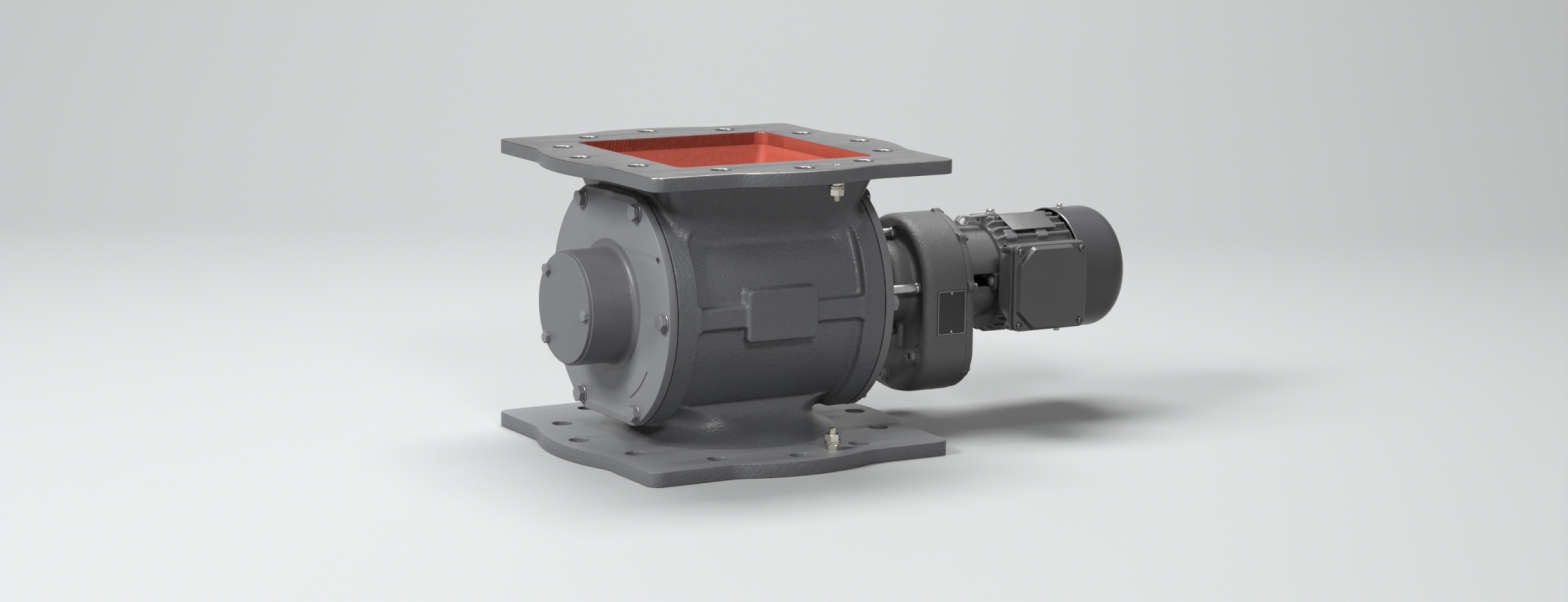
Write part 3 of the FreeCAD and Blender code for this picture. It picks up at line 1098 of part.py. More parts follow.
def terminal_box():
    """Box on the motor's -Y side with gasket, lid, lid screws, blanking plug and terminal block."""
    side = size("box_side")
    rim = size("lid_face") - size("lid_thick") - size("box_gasket")
    wall = size("box_wall")
    seat = size("frame_radius") + 8
    outside = frustum("box_outside", side - 2, side - 32, rim, seat, 12)
    inside = frustum("box_inside", side - 2 - 2 * wall, side - 32 - 2 * wall, rim + 1, seat + wall, 9)
    plug_at = ("box_centre - 22", "-lid_face + 30", f"{BOX_HEIGHT} + box_side / 2 - 14")
    boss = cylinder("blank_boss", "13", "14", plug_at, "z")
    wires = centred_box("box_wire_hole", ("36", "30", "20"),
                        ("box_centre + 14", "-frame_radius - 8", BOX_HEIGHT))
    thread = cylinder("blank_thread", "9", "30", (plug_at[0], plug_at[1], f"{plug_at[2]} - 14"), "z")
    corners = [(f"box_centre + {sx} * (box_side / 2 - 10)", f"{BOX_HEIGHT} + {sz} * (box_side / 2 - 10)")
               for sx in (-1, 1) for sz in (-1, 1)]
    posts = [cylinder(f"box_post_{i}", "6", "18", (x, "-lid_face + lid_thick + box_gasket", z), "y")
             for i, (x, z) in enumerate(corners)]
    post_holes = [cylinder(f"box_post_hole_{i}", "small_screw / 2", "20", (x, "-lid_face", z), "y")
                  for i, (x, z) in enumerate(corners)]
    shell = cut("box_shell", fuse("box_raw", outside, boss), inside)
    keep("terminal_box", cut("terminal_box", fuse("box_posts", shell, *posts), wires, thread, *post_holes))
    stem = cylinder("blank_stem", "9 - fit_gap", "13", (plug_at[0], plug_at[1], f"{plug_at[2]} + 1"), "z")
    head = cylinder("blank_head", "12", "4", (plug_at[0], plug_at[1], f"{plug_at[2]} + 14"), "z")
    keep("blanking_plug", fuse("blanking_plug", stem, head))
    sheet_blank = centred_box("gasket_blank", ("box_side - 4", "box_gasket", "box_side - 4"),
                              ("box_centre", "-lid_face + lid_thick + box_gasket / 2", BOX_HEIGHT))
    window = centred_box("gasket_window", ("box_side - 36", "10", "box_side - 36"),
                         ("box_centre", "-lid_face + lid_thick", BOX_HEIGHT))
    holes = [cylinder(f"gasket_hole_{i}", "small_screw / 2 + 0.3", "40", (x, "-lid_face - 5", z), "y")
             for i, (x, z) in enumerate(corners)]
    rounded = round_edges("gasket_rounded", sheet_blank, 9, along(1))
    keep("terminal_box_gasket", cut("terminal_box_gasket", rounded, window, *holes))
    lid = centred_box("lid_blank", ("box_side", "lid_thick", "box_side"),
                      ("box_centre", "-lid_face + lid_thick / 2", BOX_HEIGHT))
    lid_rounded = round_edges("lid_rounded", lid, 10, along(1))
    lid_soft = round_edges("lid_soft", lid_rounded, 2.5, in_plane(1, -size("lid_face")))
    half = "(box_side / 2 - 8)"
    clip = "(box_side / 2 - 29)"
    octagon = prism("lid_panel_raised", "XZ_Plane", [
        (f"box_centre + {x}", z) for x, z in (
            (half, f"-{clip}"), (half, clip), (clip, half), (f"-{clip}", half), (f"-{half}", clip),
            (f"-{half}", f"-{clip}"), (f"-{clip}", f"-{half}"), (clip, f"-{half}"))],
        "lid_face - 3", "3 + lid_panel", BOX_HEIGHT)
    lid_holes = [cylinder(f"lid_hole_{i}", "small_screw / 2 + 0.3", "40", (x, "-lid_face - 5", z), "y")
                 for i, (x, z) in enumerate(corners)]
    keep("terminal_box_lid", cut("terminal_box_lid", fuse("lid_solid", lid_soft, octagon), *lid_holes))
    screws = []
    for i, (x, z) in enumerate(corners):
        head = cylinder(f"lid_screw_head_{i}", "4.6", "3.2", (x, "-lid_face", z), "-y")
        shank = cylinder(f"lid_screw_shank_{i}", "small_screw / 2 - fit_gap", "18", (x, "-lid_face", z), "y")
        slot = box(f"lid_screw_slot_{i}", ("9.4", "1.4", "1.2"),
                   (f"{x} - 4.7", "-lid_face - 3.3", f"{z} - 0.6"))
        screws.append(cut(f"lid_screw_{i}", fuse(f"lid_screw_raw_{i}", head, shank), slot))
    keep("terminal_lid_screws", group("terminal_lid_screws", screws))
    base = centred_box("block_base", ("50", "10", "34"), ("box_centre", "-frame_radius - 17", BOX_HEIGHT))
    studs = [cylinder(f"block_stud_{column}_{row}", "2", "12",
                      (f"box_centre + {16 * column}", "-frame_radius - 22", f"{BOX_HEIGHT} + {9 * row}"),
                      "-y")
             for row in (-1, 1) for column in (-1, 0, 1)]
    keep("terminal_block", fuse("terminal_block", base, *studs))


def check_and_write():
    """Stops on any failed object, then writes every sub-part."""
    doc.recompute()
    for obj in doc.Objects:
        if "Invalid" in obj.State or "Error" in obj.State:
            raise RuntimeError(f"{obj.Name} failed: {obj.State}")
    for name, obj in parts.items():
        if obj.Shape.isNull() or not obj.Shape.isValid() or not obj.Shape.Solids:
            raise RuntimeError(f"{name} has no valid solid")
    os.makedirs("parts", exist_ok=True)
    for name, obj in parts.items():
        obj.Shape.exportStep(f"parts/{name}.step")
    print(len(parts), "sub-parts written")


housing()
end_cover("outboard", -1, "boss_radius", "boss_end", 9)
end_cover("drive", 1, "drive_boss_radius", "drive_boss_end", 3)
cover_fasteners()
rotor()
earth_stud("outlet_earth_stud", "outlet_flange", "outlet_flange", 1)
earth_stud("inlet_earth_stud", "total_height - inlet_flange", "inlet_flange", -1)
rods()
gear_case()
motor_inside(gear_train())
adapter()
motor_frame()
fan_cover()
terminal_box()
check_and_write()
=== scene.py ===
"""Rotary airlock valve with an inline gear motor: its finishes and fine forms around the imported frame.

X runs along the rotor towards the drive, -Y is the terminal box's side and +Z is up. Shapes are worked
out in millimetres and times MM become the scene's metres; lamps, camera and floor are in metres.
"""

import json
import math

import bmesh
import bpy
import numpy as np
from mathutils import Matrix, Vector


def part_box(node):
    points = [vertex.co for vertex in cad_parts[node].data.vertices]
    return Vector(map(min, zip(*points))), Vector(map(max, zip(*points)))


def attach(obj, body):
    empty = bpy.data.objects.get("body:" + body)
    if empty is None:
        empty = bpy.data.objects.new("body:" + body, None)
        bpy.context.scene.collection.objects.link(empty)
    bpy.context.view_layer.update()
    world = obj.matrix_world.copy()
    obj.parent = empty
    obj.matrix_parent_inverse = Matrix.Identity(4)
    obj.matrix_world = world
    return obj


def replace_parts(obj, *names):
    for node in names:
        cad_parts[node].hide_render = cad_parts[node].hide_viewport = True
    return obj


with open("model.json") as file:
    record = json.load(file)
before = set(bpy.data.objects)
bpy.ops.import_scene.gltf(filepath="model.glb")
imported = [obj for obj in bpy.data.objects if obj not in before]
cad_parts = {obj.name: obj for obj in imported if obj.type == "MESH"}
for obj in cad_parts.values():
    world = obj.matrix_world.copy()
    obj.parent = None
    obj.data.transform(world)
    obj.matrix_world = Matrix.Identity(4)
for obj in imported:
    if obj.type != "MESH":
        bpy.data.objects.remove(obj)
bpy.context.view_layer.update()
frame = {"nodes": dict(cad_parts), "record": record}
nodes = frame["nodes"]
MM = 0.001


# Sizes taken from the frame


def low(node):
    """Lowest corner of a CAD node's box, in millimetres."""
    return np.array(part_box(node)[0]) / MM


def high(node):
    """Highest corner of a CAD node's box, in millimetres."""
    return np.array(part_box(node)[1]) / MM


def middle(node):
    """Centre of a CAD node's box, in millimetres."""
    return (low(node) + high(node)) / 2


AXIS = middle("vaned_rotor")[2]
HALF_BODY = -high("outboard_gasket")[0]
BAND_RADIUS = high("outboard_gasket")[1]
BAND_FLAT = high("outboard_gasket")[2] - AXIS
TOTAL_HEIGHT = high("housing")[2]
FLANGE_ROUND = high("housing")[0]
OUTBOARD, DRIVEWARD, NEAR = (-1, 0, 0), (1, 0, 0), (0, -1, 0)


def put(name, data):
    """New object in the scene."""
    obj = bpy.data.objects.new(name, data)
    bpy.context.scene.collection.objects.link(obj)
    return obj


# Camera, light and stage

IMAGE_WIDTH = 2228
FOCAL_PIXELS = 4897.0
SENSOR = 36.0
CAMERA_PLACE = (-2.1536, -3.8204, 0.9308)
CAMERA_TURN = -30.465
CAMERA_RISE = 9.673
CAMERA_ROLL = 0.763


def camera():
    """The photograph's view: a basis from turn and rise, rolled about the line of sight."""
    turn, rise, roll = (math.radians(a) for a in (CAMERA_TURN, CAMERA_RISE, CAMERA_ROLL))
    back = Vector((math.sin(turn) * math.cos(rise), -math.cos(turn) * math.cos(rise), math.sin(rise)))
    right = Vector((math.cos(turn), math.sin(turn), 0))
    up = back.cross(right)
    across = right * math.cos(roll) + up * math.sin(roll)
    upward = up * math.cos(roll) - right * math.sin(roll)
    data = bpy.data.cameras.new("photo_camera")
    data.sensor_width = SENSOR
    data.lens = FOCAL_PIXELS / IMAGE_WIDTH * SENSOR
    obj = put("photo_camera", data)
    obj.matrix_world = Matrix((across, upward, back)).transposed().to_4x4()
    obj.location = CAMERA_PLACE
    bpy.context.scene.camera = obj


def softbox(name, place, aim, width, height, power):
    """Rectangular lamp at a place, facing a point."""
    data = bpy.data.lights.new(name, "AREA")
    data.shape = "RECTANGLE"
    data.size = width
    data.size_y = height
    data.energy = power
    obj = put(name, data)
    obj.rotation_euler = (Vector(aim) - Vector(place)).to_track_quat("-Z", "Y").to_euler()
    obj.location = place


def seen_ray(tree):
    """1 where the camera looks, directly, in a reflection or through glass, and 0 for light that bounces."""
    path = tree.nodes.new("ShaderNodeLightPath").outputs
    seen = calc(tree, "MAXIMUM", path["Is Camera Ray"], path["Is Glossy Ray"])
    return calc(tree, "MAXIMUM", seen, path["Is Transmission Ray"])


def studio():
    """Grey surround that gives little light, and three soft lamps: left, above and front."""
    world = bpy.data.worlds.new("studio")
    bpy.context.scene.world = world
    world.use_nodes = True
    tree = world.node_tree
    tree.nodes.clear()
    out = tree.nodes.new("ShaderNodeOutputWorld")
    mix = tree.nodes.new("ShaderNodeMixShader")
    tree.links.new(seen_ray(tree), mix.inputs[0])
    for i, colour, strength in ((1, (0.86, 0.93, 1.0, 1), 0.03), (2, (0.6, 0.605, 0.61, 1), 1.0)):
        background = tree.nodes.new("ShaderNodeBackground")
        background.inputs["Color"].default_value = colour
        background.inputs["Strength"].default_value = strength
        tree.links.new(background.outputs[0], mix.inputs[i])
    tree.links.new(mix.outputs[0], out.inputs[0])
    softbox("key_softbox", (-4.4, -0.4, 3.5), (-0.05, 0, 0.22), 1.8, 1.8, 262)
    softbox("top_softbox", (0.5, 0.9, 3.2), (0.35, 0, 0.3), 2.4, 1.1, 108)
    softbox("front_softbox", (-0.9, -4.0, 2.75), (0.1, 0, 0.22), 1.0, 0.7, 66)


def pale_floor():
    """Floor that sweeps up into a backdrop: a line, a quarter circle and a line carried sideways."""
    reach, back, radius, rise = 6.0, 3.2, 1.4, 3.5
    bend = np.linspace(0, math.pi / 2, 24)
    line = [(-reach, 0.0)]
    line += [(back - radius + radius * math.sin(a), radius - radius * math.cos(a)) for a in bend]
    line.append((back, rise))
    turn = math.radians(CAMERA_TURN)
    away = np.array([-math.sin(turn), math.cos(turn)])
    side = np.array([math.cos(turn), math.sin(turn)])
    points = np.array([[*(away * d + side * s), z] for d, z in line for s in (-reach, reach)])
    faces = [(2 * i, 2 * i + 1, 2 * i + 3, 2 * i + 2) for i in range(len(line) - 1)]
    mesh = bpy.data.meshes.new("studio_floor")
    mesh.from_pydata(points.tolist(), [], faces)
    mesh.polygons.foreach_set("use_smooth", [True] * len(mesh.polygons))
    obj = put("studio_floor", mesh)
    material, tree, shader = node_material("pale_floor")
    mix = tree.nodes.new("ShaderNodeMix")
    mix.data_type = "RGBA"
    mix.inputs["A"].default_value = (0.1, 0.101, 0.103, 1)
    mix.inputs["B"].default_value = (0.52, 0.525, 0.53, 1)
    tree.links.new(seen_ray(tree), mix.inputs["Factor"])
    tree.links.new(mix.outputs["Result"], shader.inputs["Base Color"])
    shader.inputs["Roughness"].default_value = 0.55
    mesh.materials.append(material)


# Materials


def group_frame(name, inputs, outputs):
    """Empty node group with named number or colour sockets."""
    tree = bpy.data.node_groups.new(name, "ShaderNodeTree")
    for label, kind in inputs:
        tree.interface.new_socket(name=label, in_out="INPUT", socket_type=kind)
    for label, kind in outputs:
        tree.interface.new_socket(name=label, in_out="OUTPUT", socket_type=kind)
    return tree, tree.nodes.new("NodeGroupInput"), tree.nodes.new("NodeGroupOutput")


def feed(tree, socket, value):
    """Sets a socket to a number, or links another socket to it."""
    if isinstance(value, (int, float)):
        socket.default_value = value
    else:
        tree.links.new(value, socket)


def noise(tree, place, scale, detail=2.0, rough=0.5, distortion=0.0):
    """Noise texture; each setting is a number or a socket."""
    node = tree.nodes.new("ShaderNodeTexNoise")
    for label, value in (("Vector", place), ("Scale", scale), ("Detail", detail), ("Roughness", rough),
                         ("Distortion", distortion)):
        feed(tree, node.inputs[label], value)
    return node.outputs["Fac"]


def calc(tree, kind, *values):
    """Math node; each value is a number or a socket."""
    node = tree.nodes.new("ShaderNodeMath")
    node.operation = kind
    for socket, value in zip(node.inputs, values):
        feed(tree, socket, value)
    return node.outputs[0]


def node_material(name):
    """New material with its tree and its shader."""
    material = bpy.data.materials.new(name)
    material.use_nodes = True
    return material, material.node_tree, material.node_tree.nodes["Principled BSDF"]


def surface_group():
    """Skin of a coated or metal surface: two sizes of bumps, a wandering tone and a wandering gloss.

    Height is grain times its depth plus lumps times their depth; the colour is times 1 plus the tone
    times a broad noise and half a lumpy one; the roughness is the gloss plus its wander times the broad
    noise."""
    number = "NodeSocketFloat"
    inputs = [("Colour", "NodeSocketColor")]
    inputs += [(label, number) for label in ("Grain", "Grain Depth", "Lumps", "Lump Depth", "Tone", "Gloss",
                                             "Gloss Wander")]
    tree, inlet, outlet = group_frame("coated_skin", inputs, [
        ("Colour", "NodeSocketColor"), ("Roughness", number), ("Normal", "NodeSocketVector")])
    given, link = inlet.outputs, tree.links.new
    place = tree.nodes.new("ShaderNodeTexCoord").outputs["Object"]
    grain = noise(tree, place, given["Grain"], rough=0.55)
    lumps = noise(tree, place, given["Lumps"])
    broad = calc(tree, "SUBTRACT", noise(tree, place, 14, 4.0, 0.6, 0.4), 0.5)
    fine = calc(tree, "MULTIPLY", grain, given["Grain Depth"])
    coarse = calc(tree, "MULTIPLY", lumps, given["Lump Depth"])
    bump = tree.nodes.new("ShaderNodeBump")
    bump.inputs["Strength"].default_value = 1.0
    bump.inputs["Distance"].default_value = MM
    link(calc(tree, "ADD", fine, coarse), bump.inputs["Height"])
    spread = calc(tree, "MULTIPLY", broad, given["Tone"])
    speck = calc(tree, "MULTIPLY", calc(tree, "SUBTRACT", lumps, 0.5), given["Tone"])
    lift = calc(tree, "ADD", 1.0, calc(tree, "ADD", spread, calc(tree, "MULTIPLY", speck, 0.5)))
    tint = tree.nodes.new("ShaderNodeVectorMath")
    tint.operation = "SCALE"
    link(given["Colour"], tint.inputs[0])
    link(lift, tint.inputs["Scale"])
    wander = calc(tree, "MULTIPLY", broad, given["Gloss Wander"])
    link(tint.outputs[0], outlet.inputs["Colour"])
    link(calc(tree, "ADD", given["Gloss"], wander), outlet.inputs["Roughness"])
    link(bump.outputs[0], outlet.inputs["Normal"])
    return tree


SKIN = surface_group()


def coated(name, colour, gloss, grain, grain_depth, lumps, lump_depth, tone, wander, metal=0.0):
    """Principled material over the shared skin group. Grain and lumps are noise scales per metre, their
    depths are in millimetres, and tone and wander are shares of the colour and of the roughness."""
    material, tree, shader = node_material(name)
    shader.inputs["Metallic"].default_value = metal
    skin = tree.nodes.new("ShaderNodeGroup")
    skin.node_tree = SKIN
    for label, value in (("Colour", (*colour, 1)), ("Grain", grain), ("Grain Depth", grain_depth),
                         ("Lumps", lumps), ("Lump Depth", lump_depth), ("Tone", tone), ("Gloss", gloss),
                         ("Gloss Wander", wander)):
        skin.inputs[label].default_value = value
    for label, target in (("Colour", "Base Color"), ("Roughness", "Roughness"), ("Normal", "Normal")):
        tree.links.new(skin.outputs[label], shader.inputs[target])
    return material


cast_paint = coated("cast_paint", (0.165, 0.168, 0.174), 0.28, 800, 0.26, 260, 0.85, 0.22, 0.14)
smooth_paint = coated("smooth_paint", (0.235, 0.238, 0.245), 0.36, 1200, 0.08, 140, 0.25, 0.2, 0.1)
# The end covers' plates take a lighter copy of the grey casting paint: painted light on faces that look towards
# the key lamp.
lit_cover_paint = coated("lit_cover_paint", (0.26, 0.263, 0.271), 0.40, 900, 0.14, 160, 0.3, 0.16, 0.1)
boss_paint = coated("boss_paint", (0.15, 0.152, 0.157), 0.36, 900, 0.12, 180, 0.25, 0.2, 0.12)
cap_paint = coated("cap_paint", (0.19, 0.193, 0.2), 0.42, 1800, 0.05, 300, 0.06, 0.06, 0.05)
fastener_paint = coated("fastener_paint", (0.27, 0.273, 0.28), 0.3, 1500, 0.05, 500, 0.15, 0.15, 0.1, 0.3)
rod_metal = coated("bright_metal", (0.5, 0.5, 0.495), 0.27, 2500, 0.04, 500, 0.08, 0.15, 0.1, 0.7)
screw_metal = coated("screw_metal", (0.16, 0.16, 0.16), 0.28, 2500, 0.04, 500, 0.08, 0.15, 0.1, 0.9)
# Bright bare metal: the nameplate's real rim and rivets, and on the fan cover's rim a painted highlight.
rim_and_highlight_metal = coated("plate_rim_and_highlight_metal", (0.3, 0.3, 0.3), 0.3, 2500, 0.04, 500, 0.05, 0.15, 0.1, 0.9)
gear_paint = coated("gear_paint", (0.155, 0.157, 0.161), 0.33, 1000, 0.42, 420, 0.75, 0.16, 0.12)
motor_paint = coated("motor_paint", (0.17, 0.172, 0.176), 0.3, 1400, 0.14, 240, 0.3, 0.15, 0.12)
lid_paint = coated("lid_paint", (0.13, 0.131, 0.134), 0.26, 1600, 0.06, 300, 0.12, 0.12, 0.1, 0.2)
sheet_paint = coated("sheet_paint", (0.15, 0.15, 0.153), 0.38, 1800, 0.08, 120, 0.3, 0.35, 0.15, 0.3)
fan_paint = coated("fan_paint", (0.075, 0.076, 0.079), 0.3, 2000, 0.05, 200, 0.1, 0.1, 0.08)
red_oxide = coated("red_oxide", (0.48, 0.085, 0.05), 0.55, 900, 0.3, 130, 0.8, 0.3, 0.12)
machined = coated("machined_face", (0.27, 0.27, 0.267), 0.3, 1400, 0.05, 60, 0.06, 0.6, 0.3, 1.0)
stainless = coated("stainless", (0.68, 0.65, 0.57), 0.2, 2500, 0.03, 400, 0.05, 0.1, 0.1, 1.0)
steel = coated("ground_steel", (0.5, 0.5, 0.5), 0.28, 2500, 0.03, 300, 0.05, 0.1, 0.1, 1.0)
rotor_steel = coated("rotor_steel", (0.3, 0.3, 0.3), 0.42, 1200, 0.1, 150, 0.3, 0.2, 0.15, 1.0)
copper = coated("copper_wire", (0.75, 0.32, 0.14), 0.35, 900, 0.5, 300, 0.2, 0.2, 0.1, 1.0)
rubber = coated("black_rubber", (0.012, 0.012, 0.013), 0.6, 1500, 0.1, 200, 0.1, 0.2, 0.1)
plate_metal = coated("nameplate_metal", (0.05, 0.05, 0.05), 0.33, 3000, 0.05, 400, 0.05, 0.2, 0.1, 0.6)
plastic = coated("dark_plastic", (0.03, 0.03, 0.032), 0.45, 1200, 0.1, 200, 0.1, 0.1, 0.1)

BY_SLOT = {
    "casting": cast_paint, "machined_plate": cap_paint, "painted_fastener": fastener_paint,
    "stainless": stainless, "gear_casting": gear_paint, "motor_casting": motor_paint, "steel": steel,
    "rotor_steel": rotor_steel, "lamination": rotor_steel, "copper": copper, "rubber": rubber,
    "fan_sheet": fan_paint, "nameplate": plate_metal, "plastic": plastic,
}


def dress_nodes():
    """Every CAD node takes the finish of the slot that the record gives it."""
    slot_of = {part["node"]: part["material_slot"] for part in frame["record"]["subparts"]}
    for name, obj in nodes.items():
        obj.data.materials.clear()
        obj.data.materials.append(BY_SLOT[slot_of[name]])


# Shapes, in millimetres


def through(rings, closed=False):
    """Quads through closed rings of equally many points; closed joins the last ring to the first."""
    rings = np.asarray(rings, float)
    rows, count, _ = rings.shape
    row = np.arange(rows if closed else rows - 1)[:, None]
    column = np.arange(count)[None, :]
    after, beside = (row + 1) % rows, (column + 1) % count
    corners = [row * count + column, row * count + beside, after * count + beside, after * count + column]
    return rings.reshape(-1, 3), np.stack(np.broadcast_arrays(*corners), -1).reshape(-1, 4)


def turns(count):
    """Equal steps of angle round a full circle."""
    return np.linspace(0, 2 * math.pi, count, endpoint=False)


def ring(radius, height, angle):
    """Points at each angle round Z; the radius and the height are numbers or change with the angle."""
    return np.stack([radius * np.cos(angle), radius * np.sin(angle), np.broadcast_to(height, len(angle))], 1)


def on_circle(radius, degrees):
    """Plane points on a circle round the origin."""
    angle = np.radians(degrees)
    return np.stack([radius * np.cos(angle), radius * np.sin(angle)], -1)


def six_sided(flats, angle):
    """A hexagon's reach: half its flats over the cosine of the angle to the middle of the nearest side."""
    return flats / 2 / np.cos((angle + math.pi / 6) % (math.pi / 3) - math.pi / 6)


def rounded_line(corners, radius, steps=4):
    """Line through corners, each corner an arc; the radius is one number or one for each corner."""
    corners = np.asarray(corners, float)
    radii = np.broadcast_to(radius, len(corners))
    line = [corners[0]]
    for i in range(1, len(corners) - 1):
        here = corners[i]
        back, ahead = corners[i - 1] - here, corners[i + 1] - here
        reach = 0.48 * min(np.linalg.norm(back), np.linalg.norm(ahead))
        back, ahead = back / np.linalg.norm(back), ahead / np.linalg.norm(ahead)
        half = math.acos(np.clip(back @ ahead, -1, 1)) / 2
        tangent = min(radii[i] / math.tan(half), reach)
        arc = tangent * math.tan(half)
        centre = here + (back + ahead) / np.linalg.norm(back + ahead) * arc / math.sin(half)
        start, end = here + back * tangent - centre, here + ahead * tangent - centre
        sweep = math.pi - 2 * half
        for share in np.linspace(0, 1, steps + 1):
            swung = math.sin((1 - share) * sweep) * start + math.sin(share * sweep) * end
            line.append(centre + swung / math.sin(sweep))
    line.append(corners[-1])
    return np.array(line)


def spun(profile, count=96, closed=False):
    """Surface of revolution about Z: a ring of points for each (height, radius) of the profile."""
    return through([ring(radius, height, turns(count)) for height, radius in profile], closed)


def axes_for(toward, turn=0.0):
    """X, Y and Z of a shape whose Z looks along toward; without a turn its Y is as near up as it can be."""
    z = np.array(toward, float) / np.linalg.norm(toward)
    x = np.cross((0, 0, 1) if abs(z[2]) < 0.9 else (0, 1, 0), z)
    x = x / np.linalg.norm(x)
    y = np.cross(z, x)
    return np.array([x * math.cos(turn) + y * math.sin(turn), y * math.cos(turn) - x * math.sin(turn), z])


def placed(shape, at, toward=(0, 0, 1), turn=0.0):
    """A shape with its origin at a point and its Z along a direction."""
    return shape[0] @ axes_for(toward, turn) + np.array(at, float), shape[1]


def on_axis(profile, count, toward=DRIVEWARD, closed=False):
    """Surface of revolution about the rotor's axis; its heights run from the middle of the body."""
    return placed(spun(profile, count, closed), (0, 0, AXIS), toward)


def joined(*shapes):
    """Several shapes as one."""
    starts = np.cumsum([0] + [len(points) for points, _ in shapes[:-1]])
    return (np.concatenate([points for points, _ in shapes]),
            np.concatenate([faces + start for (_, faces), start in zip(shapes, starts)]))


def weld(mesh):
    """Joins a mesh's doubled points and turns its faces outwards."""
    work = bmesh.new()
    work.from_mesh(mesh)
    bmesh.ops.remove_doubles(work, verts=work.verts, dist=2e-6)
    bmesh.ops.recalc_face_normals(work, faces=work.faces)
    work.to_mesh(mesh)
    work.free()


def settle(name, mesh, finish, sharp=38):
    """Puts a mesh into the scene, smooth but for edges sharper than an angle, riding with the valve."""
    mesh.polygons.foreach_set("use_smooth", [True] * len(mesh.polygons))
    mesh.set_sharp_from_angle(angle=math.radians(sharp))
    obj = put(name, mesh)
    for material in finish if isinstance(finish, (list, tuple)) else [finish]:
        mesh.materials.append(material)
    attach(obj, "valve")
    return obj


def piece(name, shape, finish, sharp=38):
    """Object from a shape in millimetres."""
    points, faces = shape
    mesh = bpy.data.meshes.new(name)
    mesh.from_pydata((np.asarray(points, float) * MM).tolist(), [], np.asarray(faces).tolist())
    weld(mesh)
    return settle(name, mesh, finish, sharp)


def fasteners(name, shapes, finish=fastener_paint, sharp=25):
    """One piece from several screws, bolts or rods."""
    return piece(name, joined(*shapes), finish, sharp)


def blend(a, b, radius):
    """The lower of two fields, rounded where they differ by less than the radius."""
    share = np.clip(0.5 + 0.5 * (b - a) / radius, 0, 1)
    return b + (a - b) * share - radius * share * (1 - share)


def trim(a, b, radius):
    """The higher of two fields, rounded where they differ by less than the radius."""
    return -blend(-a, -b, radius)


def rounded_plan(x, y, half_x, half_y, corner):
    """Distance to a rectangle with rounded corners, seen from above; negative inside."""
    out_x = np.abs(x) - half_x + corner
    out_y = np.abs(y) - half_y + corner
    outside = np.hypot(np.maximum(out_x, 0), np.maximum(out_y, 0))
    return outside + np.minimum(np.maximum(out_x, out_y), 0) - corner


def graded(start, end, coarse, fine=None, places=(0,), width=0):
    """Grid lines from start to end, closer together within a width of the given places."""
    track = np.linspace(start, end, 4000)
    near = np.min(np.abs(track[:, None] - np.asarray(places)[None, :]), axis=1)
    spacing = np.where(near < width, fine or coarse, coarse)
    count = np.concatenate(([0], np.cumsum(np.diff(track) / spacing[1:])))
    steps = int(math.ceil(count[-1]))
    return np.interp(np.linspace(0, count[-1], steps + 1), count, track)


def net_surface(lines, field):
    """Surface of a field on a grid: a point in each cell that the surface passes through, at the mean of its
    crossings of the cell's edges, and a quad round each grid edge that it crosses. Each point is then
    moved down the field's slope until the field there is nought."""
    values = field(*np.meshgrid(*lines, indexing="ij"))
    cells = np.array(values.shape) - 1
    total = np.zeros((cells.prod(), 3))
    count = np.zeros(cells.prod())
    rings = []
    for axis in range(3):
        first = np.delete(values, -1, axis)
        second = np.delete(values, 0, axis)
        at = np.array(np.nonzero((first < 0) != (second < 0)))
        start, end = first[tuple(at)], second[tuple(at)]
        share = start / (start - end)
        points = np.stack([lines[i][at[i]] for i in range(3)], 1)
        step = lines[axis][at[axis] + 1] - lines[axis][at[axis]]
        points[:, axis] += share * step
        others = ((axis + 1) % 3, (axis + 2) % 3)
        around = []
        inside = np.ones(len(start), bool)
        for back in ((1, 1), (0, 1), (0, 0), (1, 0)):
            cell = at.copy()
            cell[others[0]] -= back[0]
            cell[others[1]] -= back[1]
            good = np.all((cell >= 0) & (cell < cells[:, None]), axis=0)
            flat = np.where(good, (cell[0] * cells[1] + cell[1]) * cells[2] + cell[2], 0)
            for i in range(3):
                total[:, i] += np.bincount(flat[good], points[good, i], len(total))
            count += np.bincount(flat[good], minlength=len(total))
            around.append(flat)
            inside &= good
        around = np.stack(around, 1)
        around[start > 0] = around[start > 0, ::-1]
        rings.append(around[inside])
    used = np.nonzero(count)[0]
    index = np.full(len(count), -1)
    index[used] = np.arange(len(used))
    points = total[used] / count[used, None]
    for _ in range(3):
        here = field(*points.T)
        slope = np.stack([field(*(points + 0.1 * unit).T) - field(*(points - 0.1 * unit).T)
                          for unit in np.eye(3)], 1) / 0.2
        move = here[:, None] * slope / np.maximum((slope ** 2).sum(1), 0.05)[:, None]
        points -= np.clip(move, -1.0, 1.0)
    return points, index[np.concatenate(rings)]


def face_values(mesh, label):
    """Centre or normal of each face of a mesh, a row of three for each."""
    values = np.zeros(len(mesh.polygons) * 3)
    mesh.polygons.foreach_get(label, values)
    return values.reshape(-1, 3)


def kept_faces(shape, chosen):
    """Only the chosen faces, with the points that they use."""
    points, faces = shape
    faces = faces[chosen]
    used, renumbered = np.unique(faces, return_inverse=True)
    return points[used], renumbered.reshape(faces.shape)


def outline_of(field, far, count=360, centre=(0.0, 0.0)):
    """Closed outline of a plane field: the first place where it turns positive on each ray from a centre."""
    angles = turns(count)
    reach = np.linspace(0, far, 1500)
    there = field(centre[0] + reach[None, :] * np.cos(angles)[:, None],
                  centre[1] + reach[None, :] * np.sin(angles)[:, None])
    first = np.argmax(there > 0, axis=1)
    row = np.arange(count)
    before, after = there[row, first - 1], there[row, first]
    radius = reach[first - 1] + (reach[1] - reach[0]) * before / (before - after)
    return centre + ring(radius, 0, angles)[:, :2]


def ring_points(radius, centre=(0, 0), count=48):
    """Circle as an outline or a hole of a plate."""
    return centre + ring(radius, 0, turns(count))[:, :2]


def rounded_loop(half_x, half_y, corner, far=50):
    """Outline of a small rectangle with rounded corners."""
    return outline_of(lambda x, y: rounded_plan(x, y, half_x, half_y, corner), far, 200)


